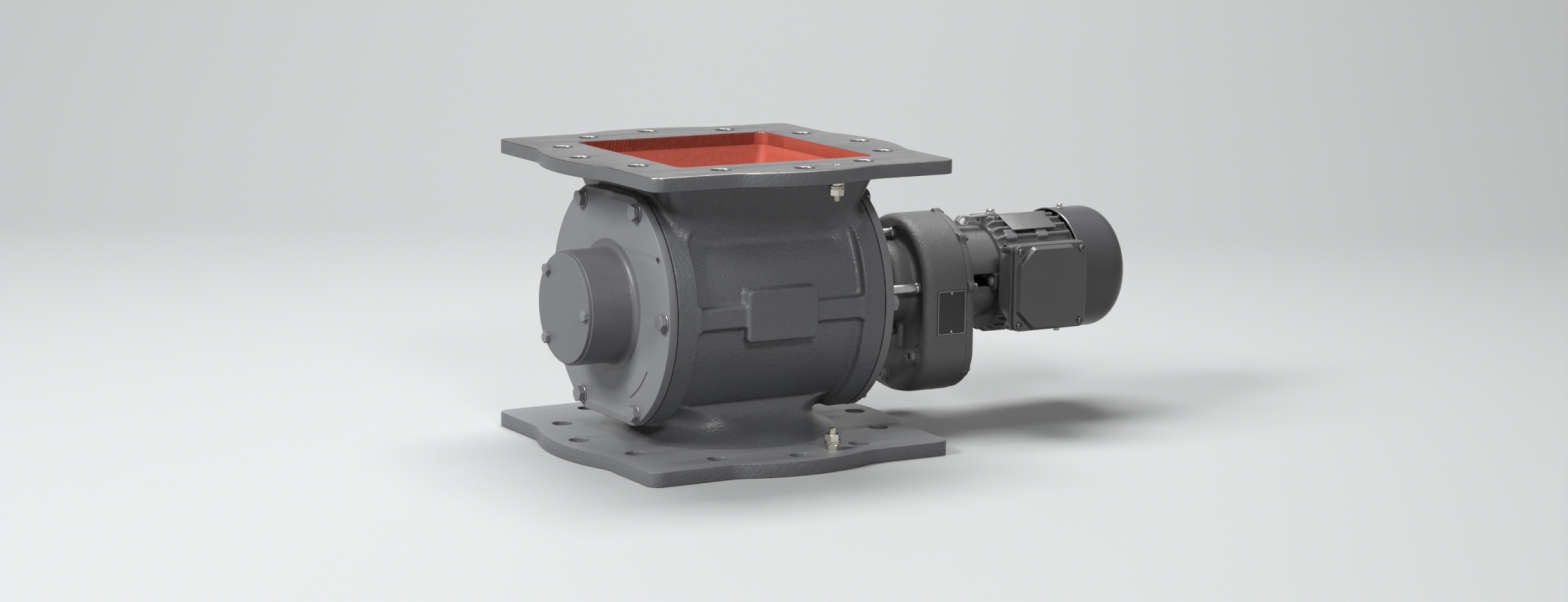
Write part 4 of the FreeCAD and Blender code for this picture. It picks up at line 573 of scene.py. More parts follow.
def flat_plate(name, loops, thickness, edge):
    """Mesh of a level plate, centred on its thickness: an outer loop and holes with rounded edges."""
    curve = bpy.data.curves.new(name, "CURVE")
    curve.dimensions = "2D"
    curve.fill_mode = "BOTH"
    curve.extrude = (thickness / 2 - edge) * MM
    curve.bevel_depth = edge * MM
    curve.bevel_resolution = 2
    curve.offset = -edge * MM
    for loop in loops:
        spline = curve.splines.new("POLY")
        spline.points.add(len(loop) - 1)
        flat = np.concatenate([loop * MM, np.zeros((len(loop), 1)), np.ones((len(loop), 1))], 1)
        spline.points.foreach_set("co", flat.ravel())
        spline.use_cyclic_u = True
    obj = put(name, curve)
    bpy.context.view_layer.update()
    mesh = bpy.data.meshes.new_from_object(obj.evaluated_get(bpy.context.evaluated_depsgraph_get()))
    bpy.data.objects.remove(obj)
    bpy.data.curves.remove(curve)
    mesh.materials.clear()
    weld(mesh)
    return mesh


def sheet(name, loops, thickness, edge, at, toward, finish):
    """Piece from a level plate, turned and moved so that its upper face looks along toward."""
    mesh = flat_plate(name, loops, thickness, edge)
    matrix = Matrix(axes_for(toward).T.tolist()).to_4x4()
    matrix.translation = Vector([float(v) for v in at]) * MM
    mesh.transform(matrix)
    return settle(name, mesh, finish)


# Screws, washers and studs, made standing on z = 0


def hexagon(flats, height):
    """Six-sided prism whose top edges a cone cuts: its height falls with the outline's radius."""
    angle = turns(72)
    outline, circle = six_sided(flats, angle), flats * 0.475
    fall = height - (outline - circle) * 0.6
    rings = [(0, height), (circle * 0.86, height), (circle, height - 0.08), (outline - 0.15, fall),
             (outline, fall - 0.3), (outline, 0.0), (0, 0.0)]
    return through([ring(reach, level, angle) for reach, level in rings])


def washer(inner, outer, thick):
    """Flat ring with soft edges."""
    soft = thick * 0.25
    return spun([(0, inner), (0, outer - soft), (soft, outer), (thick - soft, outer), (thick, outer - soft),
                 (thick, inner)], 48, closed=True)


def shank(radius, length):
    """Plain round shank below z = 0, its end chamfered and its top inside the head."""
    return spun([(-length, 0), (-length, radius - 0.5), (0.5 - length, radius), (0.3, radius)], 24)


def hex_bolt(flats, height, radius, length):
    """Bolt with its head on z = 0, and a thin round face under the head."""
    face = spun([(0, flats * 0.45), (0, flats * 0.47), (0.6, flats * 0.47)], 48)
    return joined(placed(hexagon(flats, height - 0.6), (0, 0, 0.6)), face, shank(radius, length))


def pan_screw(radius, height, bore, length):
    """Rounded head with two crossed slots: its height drops inside either slot."""
    angle = turns(64)
    rings = []
    for share in np.concatenate((np.linspace(0, 0.9, 16), np.linspace(0.92, 1, 6))):
        x, y = radius * share * np.cos(angle), radius * share * np.sin(angle)
        dome = height * (0.35 + 0.65 * math.sqrt(1 - share ** 2.6))
        narrow = np.minimum(np.abs(x), np.abs(y)) - 0.17 * radius
        slot = np.clip(0.5 - narrow / 0.25, 0, 1) * (share < 0.62)
        rings.append(np.stack([x, y, dome - slot * height * 0.45], 1))
    rings.append(ring(radius, 0, angle))
    return joined(through(rings), shank(bore, length))


def threaded(radius, length, pitch=1.5):
    """Rod up to a height with a triangular thread: its radius falls with the distance to a helix."""
    angle = turns(32)
    rings = []
    for height in np.arange(0, length - 0.8, pitch / 5):
        phase = (height / pitch - angle / (2 * math.pi)) % 1
        rings.append(ring(radius - 0.55 * pitch * np.abs(2 * phase - 1), height, angle))
    for height, end in ((length - 0.7, radius - 0.8), (length, radius - 1.5), (length, 0.0)):
        rings.append(ring(end, height, angle))
    return through(rings)


def round_axis(circle, angle, x):
    """Point at an angle round the rotor's axis: 0 is towards -Y and 90 is up."""
    across, up = on_circle(circle, angle)
    return x, -across, AXIS + up


# Housing

BARREL_RADIUS = 148.0
BAND_WIDTH = 30.0
INLET_UNDER = TOTAL_HEIGHT - 18.0
OUTLET_OVER = 19.0
NECK_CREASE = 283.0
NECK_FOOT = (123.0, 119.5)
NECK_TOP = 149.0
OUTLET_CREASE = 66.5
OUTLET_FOOT = (111.0, 86.5)
OUTLET_ROOT = 148.0
PAD = (50.5, 161.0, 33.0)
RIB = (157.5, 13.25)
BORE = high("vaned_rotor")[1] + 0.4
FLANGE_HALF = 216.5
FLANGE_CORNER = 16
FLANGE_CIRCLE = 205
FLANGE_HOLE = 13
INLET_HALF = 140
OUTLET_RADIUS = 125
STUD_PLACE = on_circle(202, -75)


def housing_field(x, y, z):
    """Distance-like field of the casting's outside, negative in the metal: a barrel, two flattened end
    bands, ribs and pads, a leaning square neck above and a neck that spreads to a circle below, each
    joined to the next with a rounded crease."""
    up = z - AXIS
    radius = np.hypot(y, up)
    flats = np.abs(up) - BAND_FLAT
    barrel = trim(radius - BARREL_RADIUS, flats, 3.0)
    bands = trim(radius - BAND_RADIUS, HALF_BODY - BAND_WIDTH - np.abs(x), 3.5)
    bands = trim(bands, flats, 3.0)
    rib = trim(np.abs(y) - RIB[0], np.abs(up) - RIB[1], 3.0)
    pad = rounded_plan(x, up, PAD[0], PAD[2], 7.0)
    pad = trim(pad, np.abs(y) - PAD[1], 4.0)
    inward = np.clip((HALF_BODY - BAND_WIDTH + 6 - np.abs(x)) / 9.0, 0, 1)
    body = blend(blend(bands, rib, 0.8 + 10.0 * inward), barrel, 7.0)
    body = blend(body, pad, 4.5)
    rise = np.clip((z - NECK_CREASE) / (INLET_UNDER - NECK_CREASE), 0, 1)
    neck = rounded_plan(x, y, NECK_FOOT[0] + (NECK_TOP - NECK_FOOT[0]) * rise,
                        NECK_FOOT[1] + (NECK_TOP - NECK_FOOT[1]) * rise, 24.0) * 0.94
    neck = trim(neck, AXIS + 40 - z, 2.0)
    near_band = np.clip((np.abs(x) - 88.0) / 30.0, 0, 1) * np.clip((HALF_BODY - 3 - np.abs(x)) / 16.0, 0, 1)
    body = blend(body, neck, 2.5 + 19.5 * near_band)
    step = np.clip((OUTLET_CREASE - z) / (OUTLET_CREASE - OUTLET_OVER + 1), 0, 1)
    spread = step ** 2.2
    corner = 14.0 + (OUTLET_ROOT - 14.0) * np.minimum(1, step * 1.15)
    spout = rounded_plan(x, y, OUTLET_FOOT[0] + (OUTLET_ROOT - OUTLET_FOOT[0]) * spread,
                         OUTLET_FOOT[1] + (OUTLET_ROOT - OUTLET_FOOT[1]) * spread, corner)
    spout = spout / np.sqrt(1 + (2.2 * step ** 1.2 * 0.9) ** 2)
    spout = trim(spout, z - OUTLET_CREASE, 1.6)
    body = blend(body, spout, 1.2 + 9.5 * near_band)
    body = trim(body, np.abs(x) - HALF_BODY, 0.8)
    body = blend(body, INLET_UNDER + 0.5 - z, 7.0)
    return blend(body, z - OUTLET_OVER + 0.5, 5.0)


def housing_skin():
    """Outside of the casting between its flanges, and the ring of each end face that a cover meets."""
    edges = HALF_BODY - BAND_WIDTH
    lines = [
        graded(-158, 158, 3.0, 1.4, (-HALF_BODY, -edges, -PAD[0], PAD[0], edges, HALF_BODY), 8),
        graded(-166, 166, 2.7, 1.4, (-OUTLET_FOOT[1] + 2, OUTLET_FOOT[1] - 2), 6),
        graded(OUTLET_OVER - 4, INLET_UNDER + 4, 2.8, 1.4, (
            AXIS - PAD[2], AXIS - RIB[1], AXIS + RIB[1], AXIS + PAD[2], NECK_CREASE - 5, OUTLET_CREASE), 5)]
    points, faces = net_surface(lines, housing_field)
    x, y, z = points[faces].mean(1).T
    heights = points[:, 2][faces]
    hidden = (heights.max(1) < OUTLET_OVER - 0.2) | (heights.min(1) > INLET_UNDER + 0.2)
    hidden |= (np.abs(x) > HALF_BODY - 0.6) & (np.hypot(y, z - AXIS) < 141)
    return piece("housing_skin", kept_faces((points, faces), ~hidden), cast_paint, 60)


def flanges():
    """Both flange plates: cast edges, twelve holes each and a hole for the earthing stud. The upper
    one's top is machined, and the walls of both openings are red."""
    square = outline_of(lambda x, y: blend(rounded_plan(x, y, FLANGE_HALF, FLANGE_HALF, FLANGE_CORNER),
                                           np.hypot(x, y) - FLANGE_ROUND, 5.0), 320)
    opening = outline_of(lambda x, y: rounded_plan(x, y, INLET_HALF, INLET_HALF, 9), 220, 240)
    holes = [ring_points(FLANGE_HOLE, on_circle(FLANGE_CIRCLE, 30 * step)) for step in range(12)]
    holes.append(ring_points(5, STUD_PLACE))
    for name, inner, under, over, finish in (
            ("inlet_flange_plate", opening, INLET_UNDER, TOTAL_HEIGHT, (cast_paint, machined, red_oxide)),
            ("outlet_flange_plate", ring_points(OUTLET_RADIUS, count=160), 0, OUTLET_OVER,
             (cast_paint, smooth_paint, red_oxide))):
        mesh = flat_plate(name, [square, inner] + holes, over - under, 1.3)
        mesh.transform(Matrix.Translation((0, 0, (under + over) / 2 * MM)))
        rise, (x, y) = face_values(mesh, "normal")[:, 2], face_values(mesh, "center")[:, :2].T / MM
        inner_wall = np.maximum(np.abs(x), np.abs(y)) < INLET_HALF + 1.4
        if name == "outlet_flange_plate":
            inner_wall = np.hypot(x, y) < OUTLET_RADIUS + 1.4
        level = np.where(rise > (0.2 if under > 0 else 0.95), 1, 0)
        mesh.polygons.foreach_set("material_index", np.where(inner_wall & (rise < 0.2), 2, level))
        settle(name, mesh, finish, 32)


def housing_inside():
    """Bore and passages, kept from the CAD housing; the cast passages are red."""
    source = nodes["housing"].data.copy()
    weld(source)
    x, y, z = face_values(source, "center").T / MM
    in_plate = (z < OUTLET_OVER + 0.1) & (np.hypot(x, y) > OUTLET_RADIUS + 1.5)
    in_plate |= (z > INLET_UNDER - 0.1) & (np.maximum(np.abs(x), np.abs(y)) > INLET_HALF + 0.6)
    deep = (housing_field(x, y, z) < -2.2) & ~in_plate
    bored = np.abs(np.hypot(y, z - AXIS) - BORE) < 0.6
    work = bmesh.new()
    work.from_mesh(source)
    work.faces.ensure_lookup_table()
    for face, is_bored in zip(work.faces, bored):
        face.material_index = int(is_bored)
    bmesh.ops.delete(work, geom=[f for f, k in zip(work.faces, deep) if not k], context="FACES")
    mesh = bpy.data.meshes.new("housing_inside")
    work.to_mesh(mesh)
    work.free()
    mesh.materials.clear()
    settle("housing_inside", mesh, (red_oxide, rotor_steel), 30)


# End covers and their fasteners

COVER_FACE = 163.0
COVER_PLATE = 12.2
COVER_CIRCLE = 147.0
COVER_HOLE = 6.5
JACKING_HOLE = 4.25
BOSS_END = -high("bearing_cap")[0]
DRIVE_BOSS_END = high("drive_cover")[0]


def end_cover(side, sign, boss, boss_end, root):
    """Cast plate with two flats, bolt holes and jacking holes, and a turned boss with a fillet at its foot.
    The outboard one has a bare raised panel at its lower right."""
    toward = (sign, 0, 0)
    outer = outline_of(lambda y, up: trim(np.hypot(y, up) - BAND_RADIUS, np.abs(up) - BAND_FLAT, 2.0), 180)
    holes = [ring_points(COVER_HOLE, on_circle(COVER_CIRCLE, 60 * step)) for step in range(6)]
    holes += [ring_points(JACKING_HOLE, on_circle(COVER_CIRCLE, angle), 32)
              for angle in ((30, 210) if sign < 0 else (150, 330))]
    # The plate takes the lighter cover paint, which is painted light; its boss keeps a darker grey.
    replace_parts(sheet(side + "_cover_plate", [outer, ring_points(boss - 6, count=96), *holes], COVER_PLATE, 1.2,
                      (sign * (COVER_FACE - COVER_PLATE / 2), 0, AXIS), toward, lit_cover_paint),
                side + "_cover")
    if sign < 0:
        angles = np.linspace(-62, -33.5, 24)
        edge = np.concatenate([on_circle(124.3, angles), on_circle(104.5, angles[::-1])])
        sheet("cover_panel", [edge], 2.1, 0.5, (-COVER_FACE - 0.45, 0, AXIS), toward, lit_cover_paint)
    seat = boss_end - 24
    profile = rounded_line([
        (COVER_FACE - 0.05, boss + 40), (COVER_FACE + 0.02, boss), (boss_end, boss), (boss_end, 45), (seat, 45),
        (seat, 40), (COVER_FACE - 8, 40), (COVER_FACE - 8, 28.5), (146, 28.5), (146, 135.95), (151, 135.95)],
        (0.1, root, 1.5, 1, 0.3, 0.3, 0.3, 0.3, 0.3, 0.8, 0.1), 7)
    piece(side + "_cover_boss", on_axis(profile, 144, toward), boss_paint)


def cover_fasteners():
    """Bolts with washers round both covers, and the bearing cap with its three screws."""
    shapes = []
    for toward in (OUTBOARD, DRIVEWARD):
        for step in range(6):
            seat = round_axis(COVER_CIRCLE, 60 * step, toward[0] * COVER_FACE)
            head = seat + 2 * np.array(toward)
            shapes += [placed(washer(6.3, 12, 2), seat, toward),
                       placed(hex_bolt(19, 7.5, 5.9, 34), head, toward, 0.37 * (step + 2) ** 2)]
    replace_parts(fasteners("cover_bolt_set", shapes), "cover_bolts", "cover_washers")
    cap = rounded_line([(0, 30), (0, 70), (4, 70), (4, 0)], (0, 0.2, 0.7, 0), 3)
    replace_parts(piece("bearing_cap_plate", placed(spun(cap, 144), (-BOSS_END, 0, AXIS), OUTBOARD),
                      cap_paint), "bearing_cap")
    screws = [placed(hex_bolt(13, 5.8, 3.95, 16), round_axis(62, angle, -BOSS_END - 4), OUTBOARD, 0.5 * i)
              for i, angle in enumerate((0, 135, 225))]
    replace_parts(fasteners("bearing_cap_bolts", screws), "bearing_cap_screws")


def earth_studs():
    """Threaded studs with nut, washers and nut, one over the outlet flange and one under the inlet flange."""
    x, y = STUD_PLACE
    for name, start, through_plate, sign in (("outlet_earth_stud", OUTLET_OVER, 19, 1),
                                             ("inlet_earth_stud", INLET_UNDER, 18, -1)):
        rod = placed(threaded(4.95, through_plate + 28), (0, 0, -through_plate))
        stack = joined(rod, placed(hexagon(17, 8), (0, 0, 0)), placed(washer(5, 10.5, 1.6), (0, 0, 8)),
                       placed(washer(5, 9, 1.6), (0, 0, 9.6)), placed(washer(5, 10.5, 1.6), (0, 0, 11.2)),
                       placed(hexagon(17, 8), (0, 0, 12.8), turn=0.3))
        made = piece(name + "_set", placed(stack, (x, y, start), (0, 0, sign)), stainless, 25)
        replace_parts(made, name)


def standoff_rods():
    """Turned rods between the drive cover and the gear case, thicker at the case."""
    start, end = COVER_FACE, CASE_FLOOR
    profile = rounded_line([(start - 8, 0), (start - 8, 3.9), (start, 3.9), (start, 6.5), (end - 8, 6.5),
                            (end - 6.5, 7.5), (end, 7.5), (end, 3.9), (end + 5, 3.9), (end + 5, 0)], 0.6, 3)
    shapes = [placed(spun(profile, 48), round_axis(65, angle, 0), DRIVEWARD) for angle in (0, 90, 180, 270)]
    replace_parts(fasteners("standoff_rod_set", shapes, rod_metal, 38), "standoff_rods")


# Gear case

CASE_RADIUS = 90.0
DOME_FRONT = low("gear_case")[0]
CASE_FLOOR = DOME_FRONT + 34
CASE_RIM = CASE_FLOOR - 8
CASE_SEAM = high("gear_case")[0]
CASE_BACK = high("gear_case_cover")[0]
CASE_SCREWS = [*on_circle(86.2, np.arange(180, -1, -45)), (-72, -112), (72, -112), (0, -144.2)]
OIL_PLUGS = [(-65, -90), (6, -124)]
NAMEPLATE_PLACE = 296.0, AXIS - 31.5


def case_plan(y, up):
    """Distance to the gear case seen along the axis: a half circle above, straight sides and two slanting
    cuts to the underside below."""
    across = np.abs(y)
    lower = trim(across - CASE_RADIUS, 0.683 * (across - 90) - 0.73 * (up + 108), 18)
    lower = trim(lower, 0.253 * (across - 55.8) - 0.968 * (up + 140), 12)
    lower = trim(lower, -up - 148, 10)
    return np.where(up > 0, np.hypot(y, up) - CASE_RADIUS, lower)


def gear_case_field(x, y, z):
    """Case with a widely rounded rim, a front recess with soft walls, the output hub in it, a short
    ridge, and a boss for each oil plug."""
    up = z - AXIS
    radius = np.hypot(y, up)
    body = trim(case_plan(y, up), CASE_RIM - x, 17.0)
    lower = rounded_plan(y, up, 75, 90, 32)
    recess = trim(np.where(up > 0, radius - 75, lower), x - CASE_FLOOR, 9.0)
    body = trim(body, -recess, 11.0)
    hub = trim(trim(radius - 57, DOME_FRONT - x, 13.0), x - CASE_FLOOR - 6, 1.0)
    body = blend(body, hub, 9.0)
    ridge = trim(rounded_plan(y + 21, up + 64, 3.5, 22, 3.0), CASE_FLOOR - 5 - x, 3.0)
    body = blend(body, trim(ridge, x - CASE_FLOOR - 3, 1.0), 3.0)
    for across, rise in OIL_PLUGS:
        boss = trim(np.hypot(y - across, up - rise) - 11.5, CASE_RIM - 2 - x, 1.5)
        body = blend(body, trim(boss, x - CASE_FLOOR - 10, 1.0), 5.0)
    body = trim(body, -trim(radius - 36.3, x - DOME_FRONT - 9, 0.5), 1.5)
    return trim(body, x - CASE_SEAM + 0.4, 1.2)


def gear_case():
    """Case's skin, without most of its back, which the rear cover hides."""
    lines = [graded(DOME_FRONT - 2, CASE_SEAM + 2, 2.0, 1.2, (CASE_RIM + 4,), 9), graded(-93, 93, 1.9),
             graded(AXIS - 151, AXIS + 93, 1.9)]
    points, faces = net_surface(lines, gear_case_field)
    x, y, z = points[faces].mean(1).T
    hidden = (x > CASE_SEAM - 0.9) & (case_plan(y, z - AXIS) < -5)
    skin = piece("gear_case_skin", kept_faces((points, faces), ~hidden), gear_paint, 60)
    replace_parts(skin, "gear_case")


def rear_cover_plan(y, up):
    """Outline of the rear cover: the case's outline drawn in a little, with a round tab at each screw."""
    plan = case_plan(y, up) + 1.2
    for across, rise in CASE_SCREWS:
        plan = blend(plan, np.hypot(y - across * 1.01, up - rise * 1.01) - 6.6, 4.0)
    return plan


def gear_case_cover():
    """Rear cover with its tabs and the screws round its rim."""
    loops = [outline_of(rear_cover_plan, 150, 480, (0.0, -30.0)), ring_points(16)]
    at = ((CASE_SEAM + CASE_BACK) / 2, 0, AXIS)
    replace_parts(sheet("gear_case_back", loops, CASE_BACK - CASE_SEAM, 1.6, at, DRIVEWARD, gear_paint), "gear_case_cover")
    shapes = [placed(hex_bolt(8, 5, 2.45, 24), (CASE_BACK, y, AXIS + up), DRIVEWARD, 0.4 * i)
              for i, (y, up) in enumerate(CASE_SCREWS)]
    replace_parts(fasteners("gear_case_bolts", shapes), "gear_case_screws")


def oil_plugs():
    """Round plug heads with a hexagon socket, each on a thin sealing ring."""
    angle = turns(72)
    socket = six_sided(7.8, angle)
    head = through([ring(reach, level, angle) for reach, level in (
        (0, 1.5), (socket, 1.5), (socket, 5.6), (socket + 0.4, 6.0), (7.7, 6.0), (8.5, 5.2), (8.5, 0.0))])
    plug = joined(head, shank(6.4, 15), washer(8, 10, 1.2))
    shapes = [placed(plug, (CASE_RIM - 2, y, AXIS + up), OUTBOARD) for y, up in OIL_PLUGS]
    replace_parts(fasteners("oil_plug_set", shapes), "oil_plugs")


def nameplate():
    """Bare plate's thin raised rim, and domed rivets."""
    x, z = NAMEPLATE_PLACE
    sheet("nameplate_rim", [rounded_loop(21.4, 28.9, 2.4), rounded_loop(20.2, 27.7, 1.6)], 0.5, 0.15,
          (x, -CASE_RADIUS - 0.9, z), NEAR, rim_and_highlight_metal)
    dome = spun([(0, 2.0), (0.5, 1.9), (1.0, 1.3), (1.3, 0.5), (1.35, 0)], 24)
    shapes = [placed(dome, (x, -CASE_RADIUS - 0.8, z + side * 25.5), NEAR) for side in (-1, 1)]
    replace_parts(piece("rivet_heads", joined(*shapes), rim_and_highlight_metal), "nameplate_rivets")


# Motor adapter and motor frame

MOTOR_FRONT = low("motor_frame")[0]
MOTOR_BACK = high("motor_frame")[0]
FAN_BACK = high("fan_cover")[0]
FAN_RADIUS = 82.0
FAN_BEND = 26.0
FAN_SHEET = 1.5
BOX_X, _, BOX_Z = middle("terminal_box_lid")
CORNERS = ((-1, -1), (-1, 1), (1, -1), (1, 1))


def adapter_field(x, y, z):
    """Round hood above, narrower neck below and a round foot at the gear case, hollow, with a window, a
    bolt room and a bolt lug on each side."""
    up = z - AXIS
    radius = np.hypot(y, up)
    hood = trim(radius - 66, 11 - up, 3.0)
    foot = trim(radius - 66, x - CASE_BACK - 7, 2.0)
    body = blend(blend(hood, radius - 56, 3.0), foot, 3.0)
    lug = np.maximum(rounded_plan(np.abs(y) - 59, up, 8, 11, 3), np.abs(x - MOTOR_FRONT + 6.5) - 6.5)
    body = blend(body, lug, 2.0)
    window = rounded_plan(x - CASE_BACK - 32, up - 1, 15, 8.5, 4)
    body = trim(body, -window, 2.0)
    room = trim(np.hypot(np.abs(y) - 61, up) - 7.5, x - MOTOR_FRONT + 13, 1.0)
    body = trim(body, -np.maximum(room, MOTOR_FRONT - 43 - x), 1.5)
    body = trim(body, 48 - radius, 1.5)
    return trim(body, np.abs(x - (CASE_BACK + MOTOR_FRONT) / 2) - (MOTOR_FRONT - CASE_BACK) / 2, 1.5)


def adapter():
    """Neck between gear case and motor, and its two button heads."""
    lines = [graded(CASE_BACK - 1.5, MOTOR_FRONT + 1.5, 1.8), graded(-70, 70, 1.6),
             graded(AXIS - 69, AXIS + 69, 1.6)]
    skin = piece("adapter_skin", net_surface(lines, adapter_field), motor_paint, 60)
    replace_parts(skin, "motor_adapter")
    head = rounded_line([(0, 6.2), (3.2, 6.2), (6.0, 3.4), (6.0, 0)], 2.2, 4)
    bolt = joined(spun(head, 48), shank(4.1, 20))
    shapes = [placed(bolt, (MOTOR_FRONT - 13, side * 61, AXIS), OUTBOARD) for side in (-1, 1)]
    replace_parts(fasteners("adapter_bolt_heads", shapes, sharp=38), "adapter_bolts")


def lifting_eye():
    """Strip bent into a six-sided eye, its tail held under the bolt on the motor."""
    outer = [(352, 264), (350.5, 266), (356, 273), (365, 273), (371, 271.6), (414, 273), (414, 270.8),
             (372, 269.4), (371, 266.5), (366, 259), (356, 259), (352, 264)]
    inner = [(354.5, 264.6), (353.2, 266), (357.2, 270.8), (364.6, 270.8), (368.4, 267), (364.8, 261.2),
             (357.2, 261.2), (354.5, 264.6)]
    sheet("lifting_eye", [rounded_line(line, 0.8, 3)[:-1] for line in (outer, inner)], 9, 0.5, (0, -12, 0), NEAR,
          rod_metal)
    stack = joined(
        placed(washer(3.2, 10, 2), (0, 0, 262)), placed(hexagon(16, 6.6), (0, 0, 264)),
        placed(washer(3.2, 8, 1.4), (0, 0, 273)), placed(hexagon(11, 5), (0, 0, 274.4), turn=0.4),
        placed(threaded(2.9, 26, 1.0), (0, 0, 255)))
    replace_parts(fasteners("frame_bolt_stack", [placed(stack, (MOTOR_FRONT + 14, -12, 0))], rod_metal),
                "frame_top_bolt")


def frame_field(x, y, z):
    """Barrel with a fin every 12 degrees but none behind the terminal box, fins low and rounded at the
    drive end, the flat seat of the terminal box and four square blocks among the upper fins."""
    up = z - AXIS
    radius = np.hypot(y, up)
    angle = np.arctan2(up, y)
    spacing = math.radians(12)
    beside = np.abs((angle / spacing + 0.5) % 1 - 0.5) * spacing * radius
    lead = np.clip((MOTOR_FRONT + 13 - x) / 13, 0, 1)
    fins = trim(beside - 2.3, radius - 78.5 + 7.5 * lead ** 2.5, 2.2)
    fins = np.where(np.abs(angle) > math.radians(147), 50.0, fins)
    body = blend(radius - 71, fins, 2.5)
    seat = np.maximum(np.abs(y + 71) - 8, rounded_plan(x - (MOTOR_FRONT + MOTOR_BACK) / 2, z - BOX_Z, 58, 44, 5))
    body = blend(body, seat, 2.0)
    along = np.abs(np.abs(x - MOTOR_FRONT - 47) - 25) - 8.5
    slant = math.radians(130)
    out = y * math.cos(slant) + up * math.sin(slant)
    aside = -y * math.sin(slant) + up * math.cos(slant)
    block = trim(trim(along, np.abs(aside) - 8, 1.5), out - 79, 1.5)
    body = blend(body, np.maximum(block, 60 - out), 1.2)
    front = np.maximum(rounded_plan(x - MOTOR_FRONT - 13, np.abs(y) - 12, 11, 8.5, 2), np.abs(up - 72) - 7)
    body = blend(body, front, 1.5)
    ends = np.abs(x - (MOTOR_FRONT + MOTOR_BACK) / 2) - (MOTOR_BACK - MOTOR_FRONT) / 2
    return trim(body, ends, 1.2)


def motor_frame():
    """Finned frame's skin, on a grid that is closer at both ends."""
    lines = [graded(MOTOR_FRONT - 1.5, MOTOR_BACK + 1.5, 2.6, 1.5, (MOTOR_FRONT, MOTOR_BACK), 9),
             graded(-82, 82, 1.25), graded(AXIS - 82, AXIS + 82, 1.25)]
    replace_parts(piece("motor_frame_skin", net_surface(lines, frame_field), motor_paint, 60),
                "motor_frame")


# Terminal box and fan cover


def square_ring(half, corner, height, cut=200.0):
    """Ring at a height: a rounded square of a half width whose corners may be cut by |x| + |y| = cut."""
    loop = outline_of(lambda x, y: trim(rounded_plan(x, y, half, half, corner),
                                        (np.abs(x) + np.abs(y) - cut) / 1.414, 2.0), 110, 240)
    return np.column_stack([loop, np.full(len(loop), height)])


def terminal_box():
    """Cast box that widens towards its lid, with a flange, the threaded boss and its blanking plug."""
    rings = [square_ring(half, corner, height) for half, corner, height in (
        (0.1, 0.05, 79), (40, 12, 79), (41, 12, 80), (47, 13, 100), (52.5, 13, 117), (54.2, 12, 121),
        (56.4, 11, 123), (57.2, 11, 124), (57.4, 11, 131.3), (56.6, 11, 132), (48, 9, 132), (47.6, 9, 131),
        (40, 9, 90), (0.1, 0.05, 90))]
    body = placed(through(rings), (BOX_X, 0, BOX_Z), NEAR)
    boss = rounded_line([(0, 10), (9.0, 10), (9.0, 7), (4, 7)], 1.2, 4)
    at = (BOX_X - 44, -108, BOX_Z + 43)
    lug = rounded_line([(0, 0), (0, 5), (13, 5), (13, 0)], 1.0, 3)
    lugs = [placed(spun(lug, 32), (BOX_X + x * 54, -119.5, BOX_Z + z * 51), NEAR) for x, z in CORNERS]
    shape = joined(body, placed(spun(boss, 64), at), *lugs)
    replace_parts(piece("terminal_box_body", shape, motor_paint, 45), "terminal_box")
    plug = rounded_line([(1, 0), (1, 6.9), (9.1, 6.9), (9.1, 9.2), (11.5, 9.2), (11.5, 6), (10.6, 5.4),
                         (10.6, 0)], 0.6, 3)
    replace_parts(piece("blanking_plug_head", placed(spun(plug, 64), at), plastic), "blanking_plug")


def terminal_lid():
    """Lid with a rounded edge and a bare eight-sided panel raised on a broad slope, and its four screws."""
    edge = [(57 - 2.2 * (1 - math.cos(a)), 4.8 + 2.2 * math.sin(a)) for a in np.linspace(0, math.pi / 2, 6)]
    rings = [square_ring(0.1, 0.05, 0), square_ring(57, 10, 0)]
    rings += [square_ring(half, 10 - 57 + half, height) for half, height in edge]
    slope = rounded_line([(57.5, 7), (55.2, 7), (51.6, 15), (45, 15)], (0, 1.6, 1.6, 0), 4)
    rings += [square_ring(half, 3.0, height, half + 31.0) for half, height in slope[1:]]
    rings.append(square_ring(0.1, 0.05, 15))
    shape = placed(through(rings), (BOX_X, -133, BOX_Z), NEAR)
    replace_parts(piece("terminal_lid_plate", shape, lid_paint, 45), "terminal_box_lid")
    screws = [placed(pan_screw(4.8, 3.4, 2.45, 20), (BOX_X + x * 48.5, -140, BOX_Z + z * 48.5), NEAR, 0.7 * i)
              for i, (x, z) in enumerate(CORNERS)]
    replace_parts(fasteners("terminal_lid_bolts", screws, screw_metal, 38), "terminal_lid_screws")


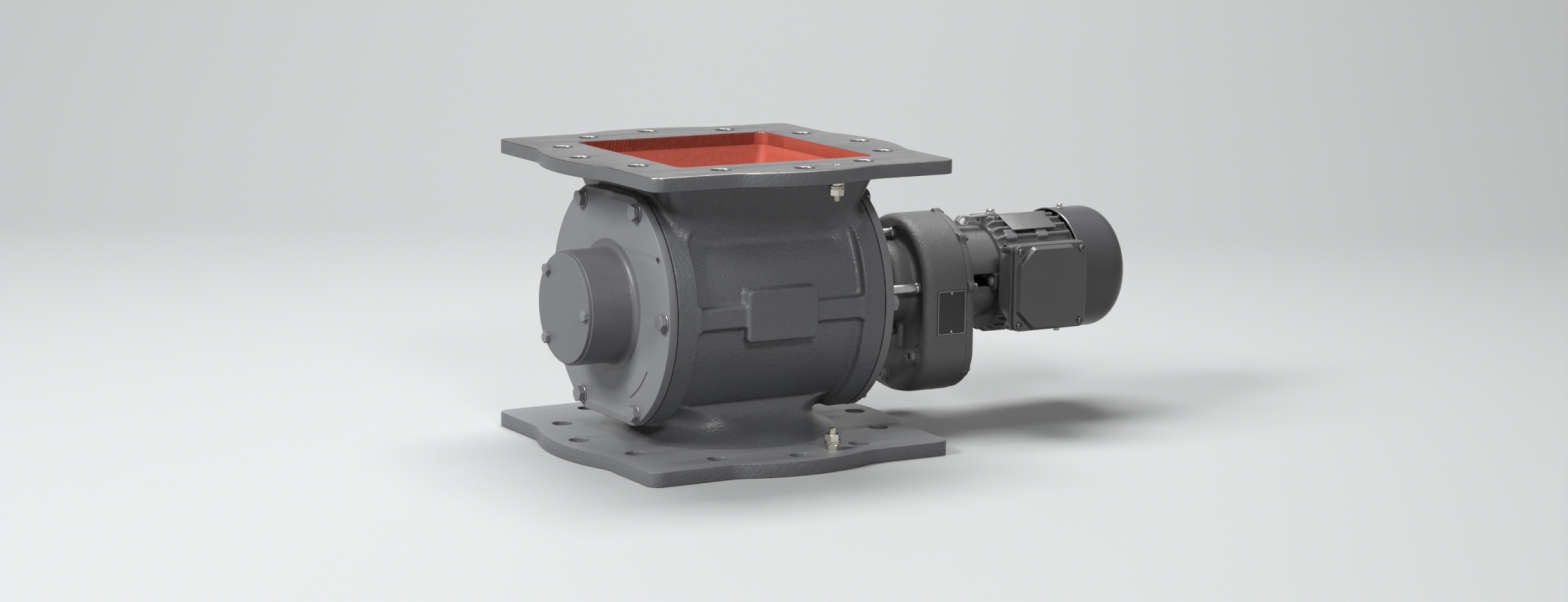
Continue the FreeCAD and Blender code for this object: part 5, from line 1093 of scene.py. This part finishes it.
def fan_cover():
    """Drawn sheet with a quarter circle at the back, its rolled front rim in bright metal as a painted highlight
    along the edge, a grille of ring slots and three screws."""
    bend = np.linspace(0, math.pi / 2, 25)
    front = MOTOR_BACK + 0.5
    outside, inside = ([(FAN_BACK - FAN_BEND + radius * math.sin(a), FAN_RADIUS - FAN_BEND + radius * math.cos(a))
                        for a in bend] for radius in (FAN_BEND, FAN_BEND - FAN_SHEET))
    profile = [(front + 1, FAN_RADIUS), *outside, *inside[::-1], (front + 1, FAN_RADIUS - FAN_SHEET)]
    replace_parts(piece("fan_cover_shell", on_axis(profile, 180, closed=True), fan_paint), "fan_cover")
    # The rolled rim is bright metal on the dark painted cover: a painted highlight along its edge.
    rim = [(front + 1.2, 80.4), (front + 0.2, 80.7), (front - 0.3, 81.5), (front + 0.1, 82.4),
           (front + 1.0, 82.6), (front + 2.0, 82.1), (front + 2.0, 80.6)]
    piece("fan_cover_rim", on_axis(rim, 180, closed=True), rim_and_highlight_metal)
    loops = [ring_points(57, count=120)]
    for inner in (14, 25, 36, 47):
        for start in range(0, 360, 45):
            arcs = []
            for radius, way in ((inner + 6, 1), (inner, -1)):
                bar = math.degrees(2.5 / radius)
                arcs.append(on_circle(radius, np.linspace(start + bar, start + 45 - bar, 9)[::way]))
            loops.append(np.concatenate(arcs))
    sheet("fan_grille", loops, FAN_SHEET, 0.3, (FAN_BACK - FAN_SHEET / 2, 0, AXIS), DRIVEWARD, fan_paint)
    shapes = []
    for toward in np.array(((0, 0, 1), (0, 0, -1), (0, 1, 0))):
        seat = (MOTOR_BACK + 18, 0, AXIS) + FAN_RADIUS * toward
        shapes += [placed(washer(2.6, 6, 1), seat, toward),
                   placed(hex_bolt(8, 4.5, 2.45, 13), seat + toward, toward, 0.3)]
    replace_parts(fasteners("fan_cover_bolts", shapes, rod_metal), "fan_cover_screws")


def motor_plate():
    """Sheet on the fin tips, leaning towards -Y."""
    lean = math.radians(23)
    away = np.array([0, -math.sin(lean), math.cos(lean)])
    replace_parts(sheet("motor_plate_sheet", [rounded_loop(35.5, 20, 1.5, 60)], 1.2, 0.3,
                      (MOTOR_FRONT + 61.5, 0, AXIS) + 78.7 * away, away, sheet_paint), "motor_plate")


camera()
studio()
pale_floor()
dress_nodes()
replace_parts(housing_skin(), "housing")
flanges()
housing_inside()
end_cover("outboard", -1, 73, BOSS_END, 7.0)
end_cover("drive", 1, 55, DRIVE_BOSS_END, 3.0)
cover_fasteners()
earth_studs()
standoff_rods()
gear_case()
gear_case_cover()
oil_plugs()
nameplate()
adapter()
lifting_eye()
motor_frame()
motor_plate()
terminal_box()
terminal_lid()
fan_cover()

bpy.context.scene.view_settings.view_transform = "Standard"
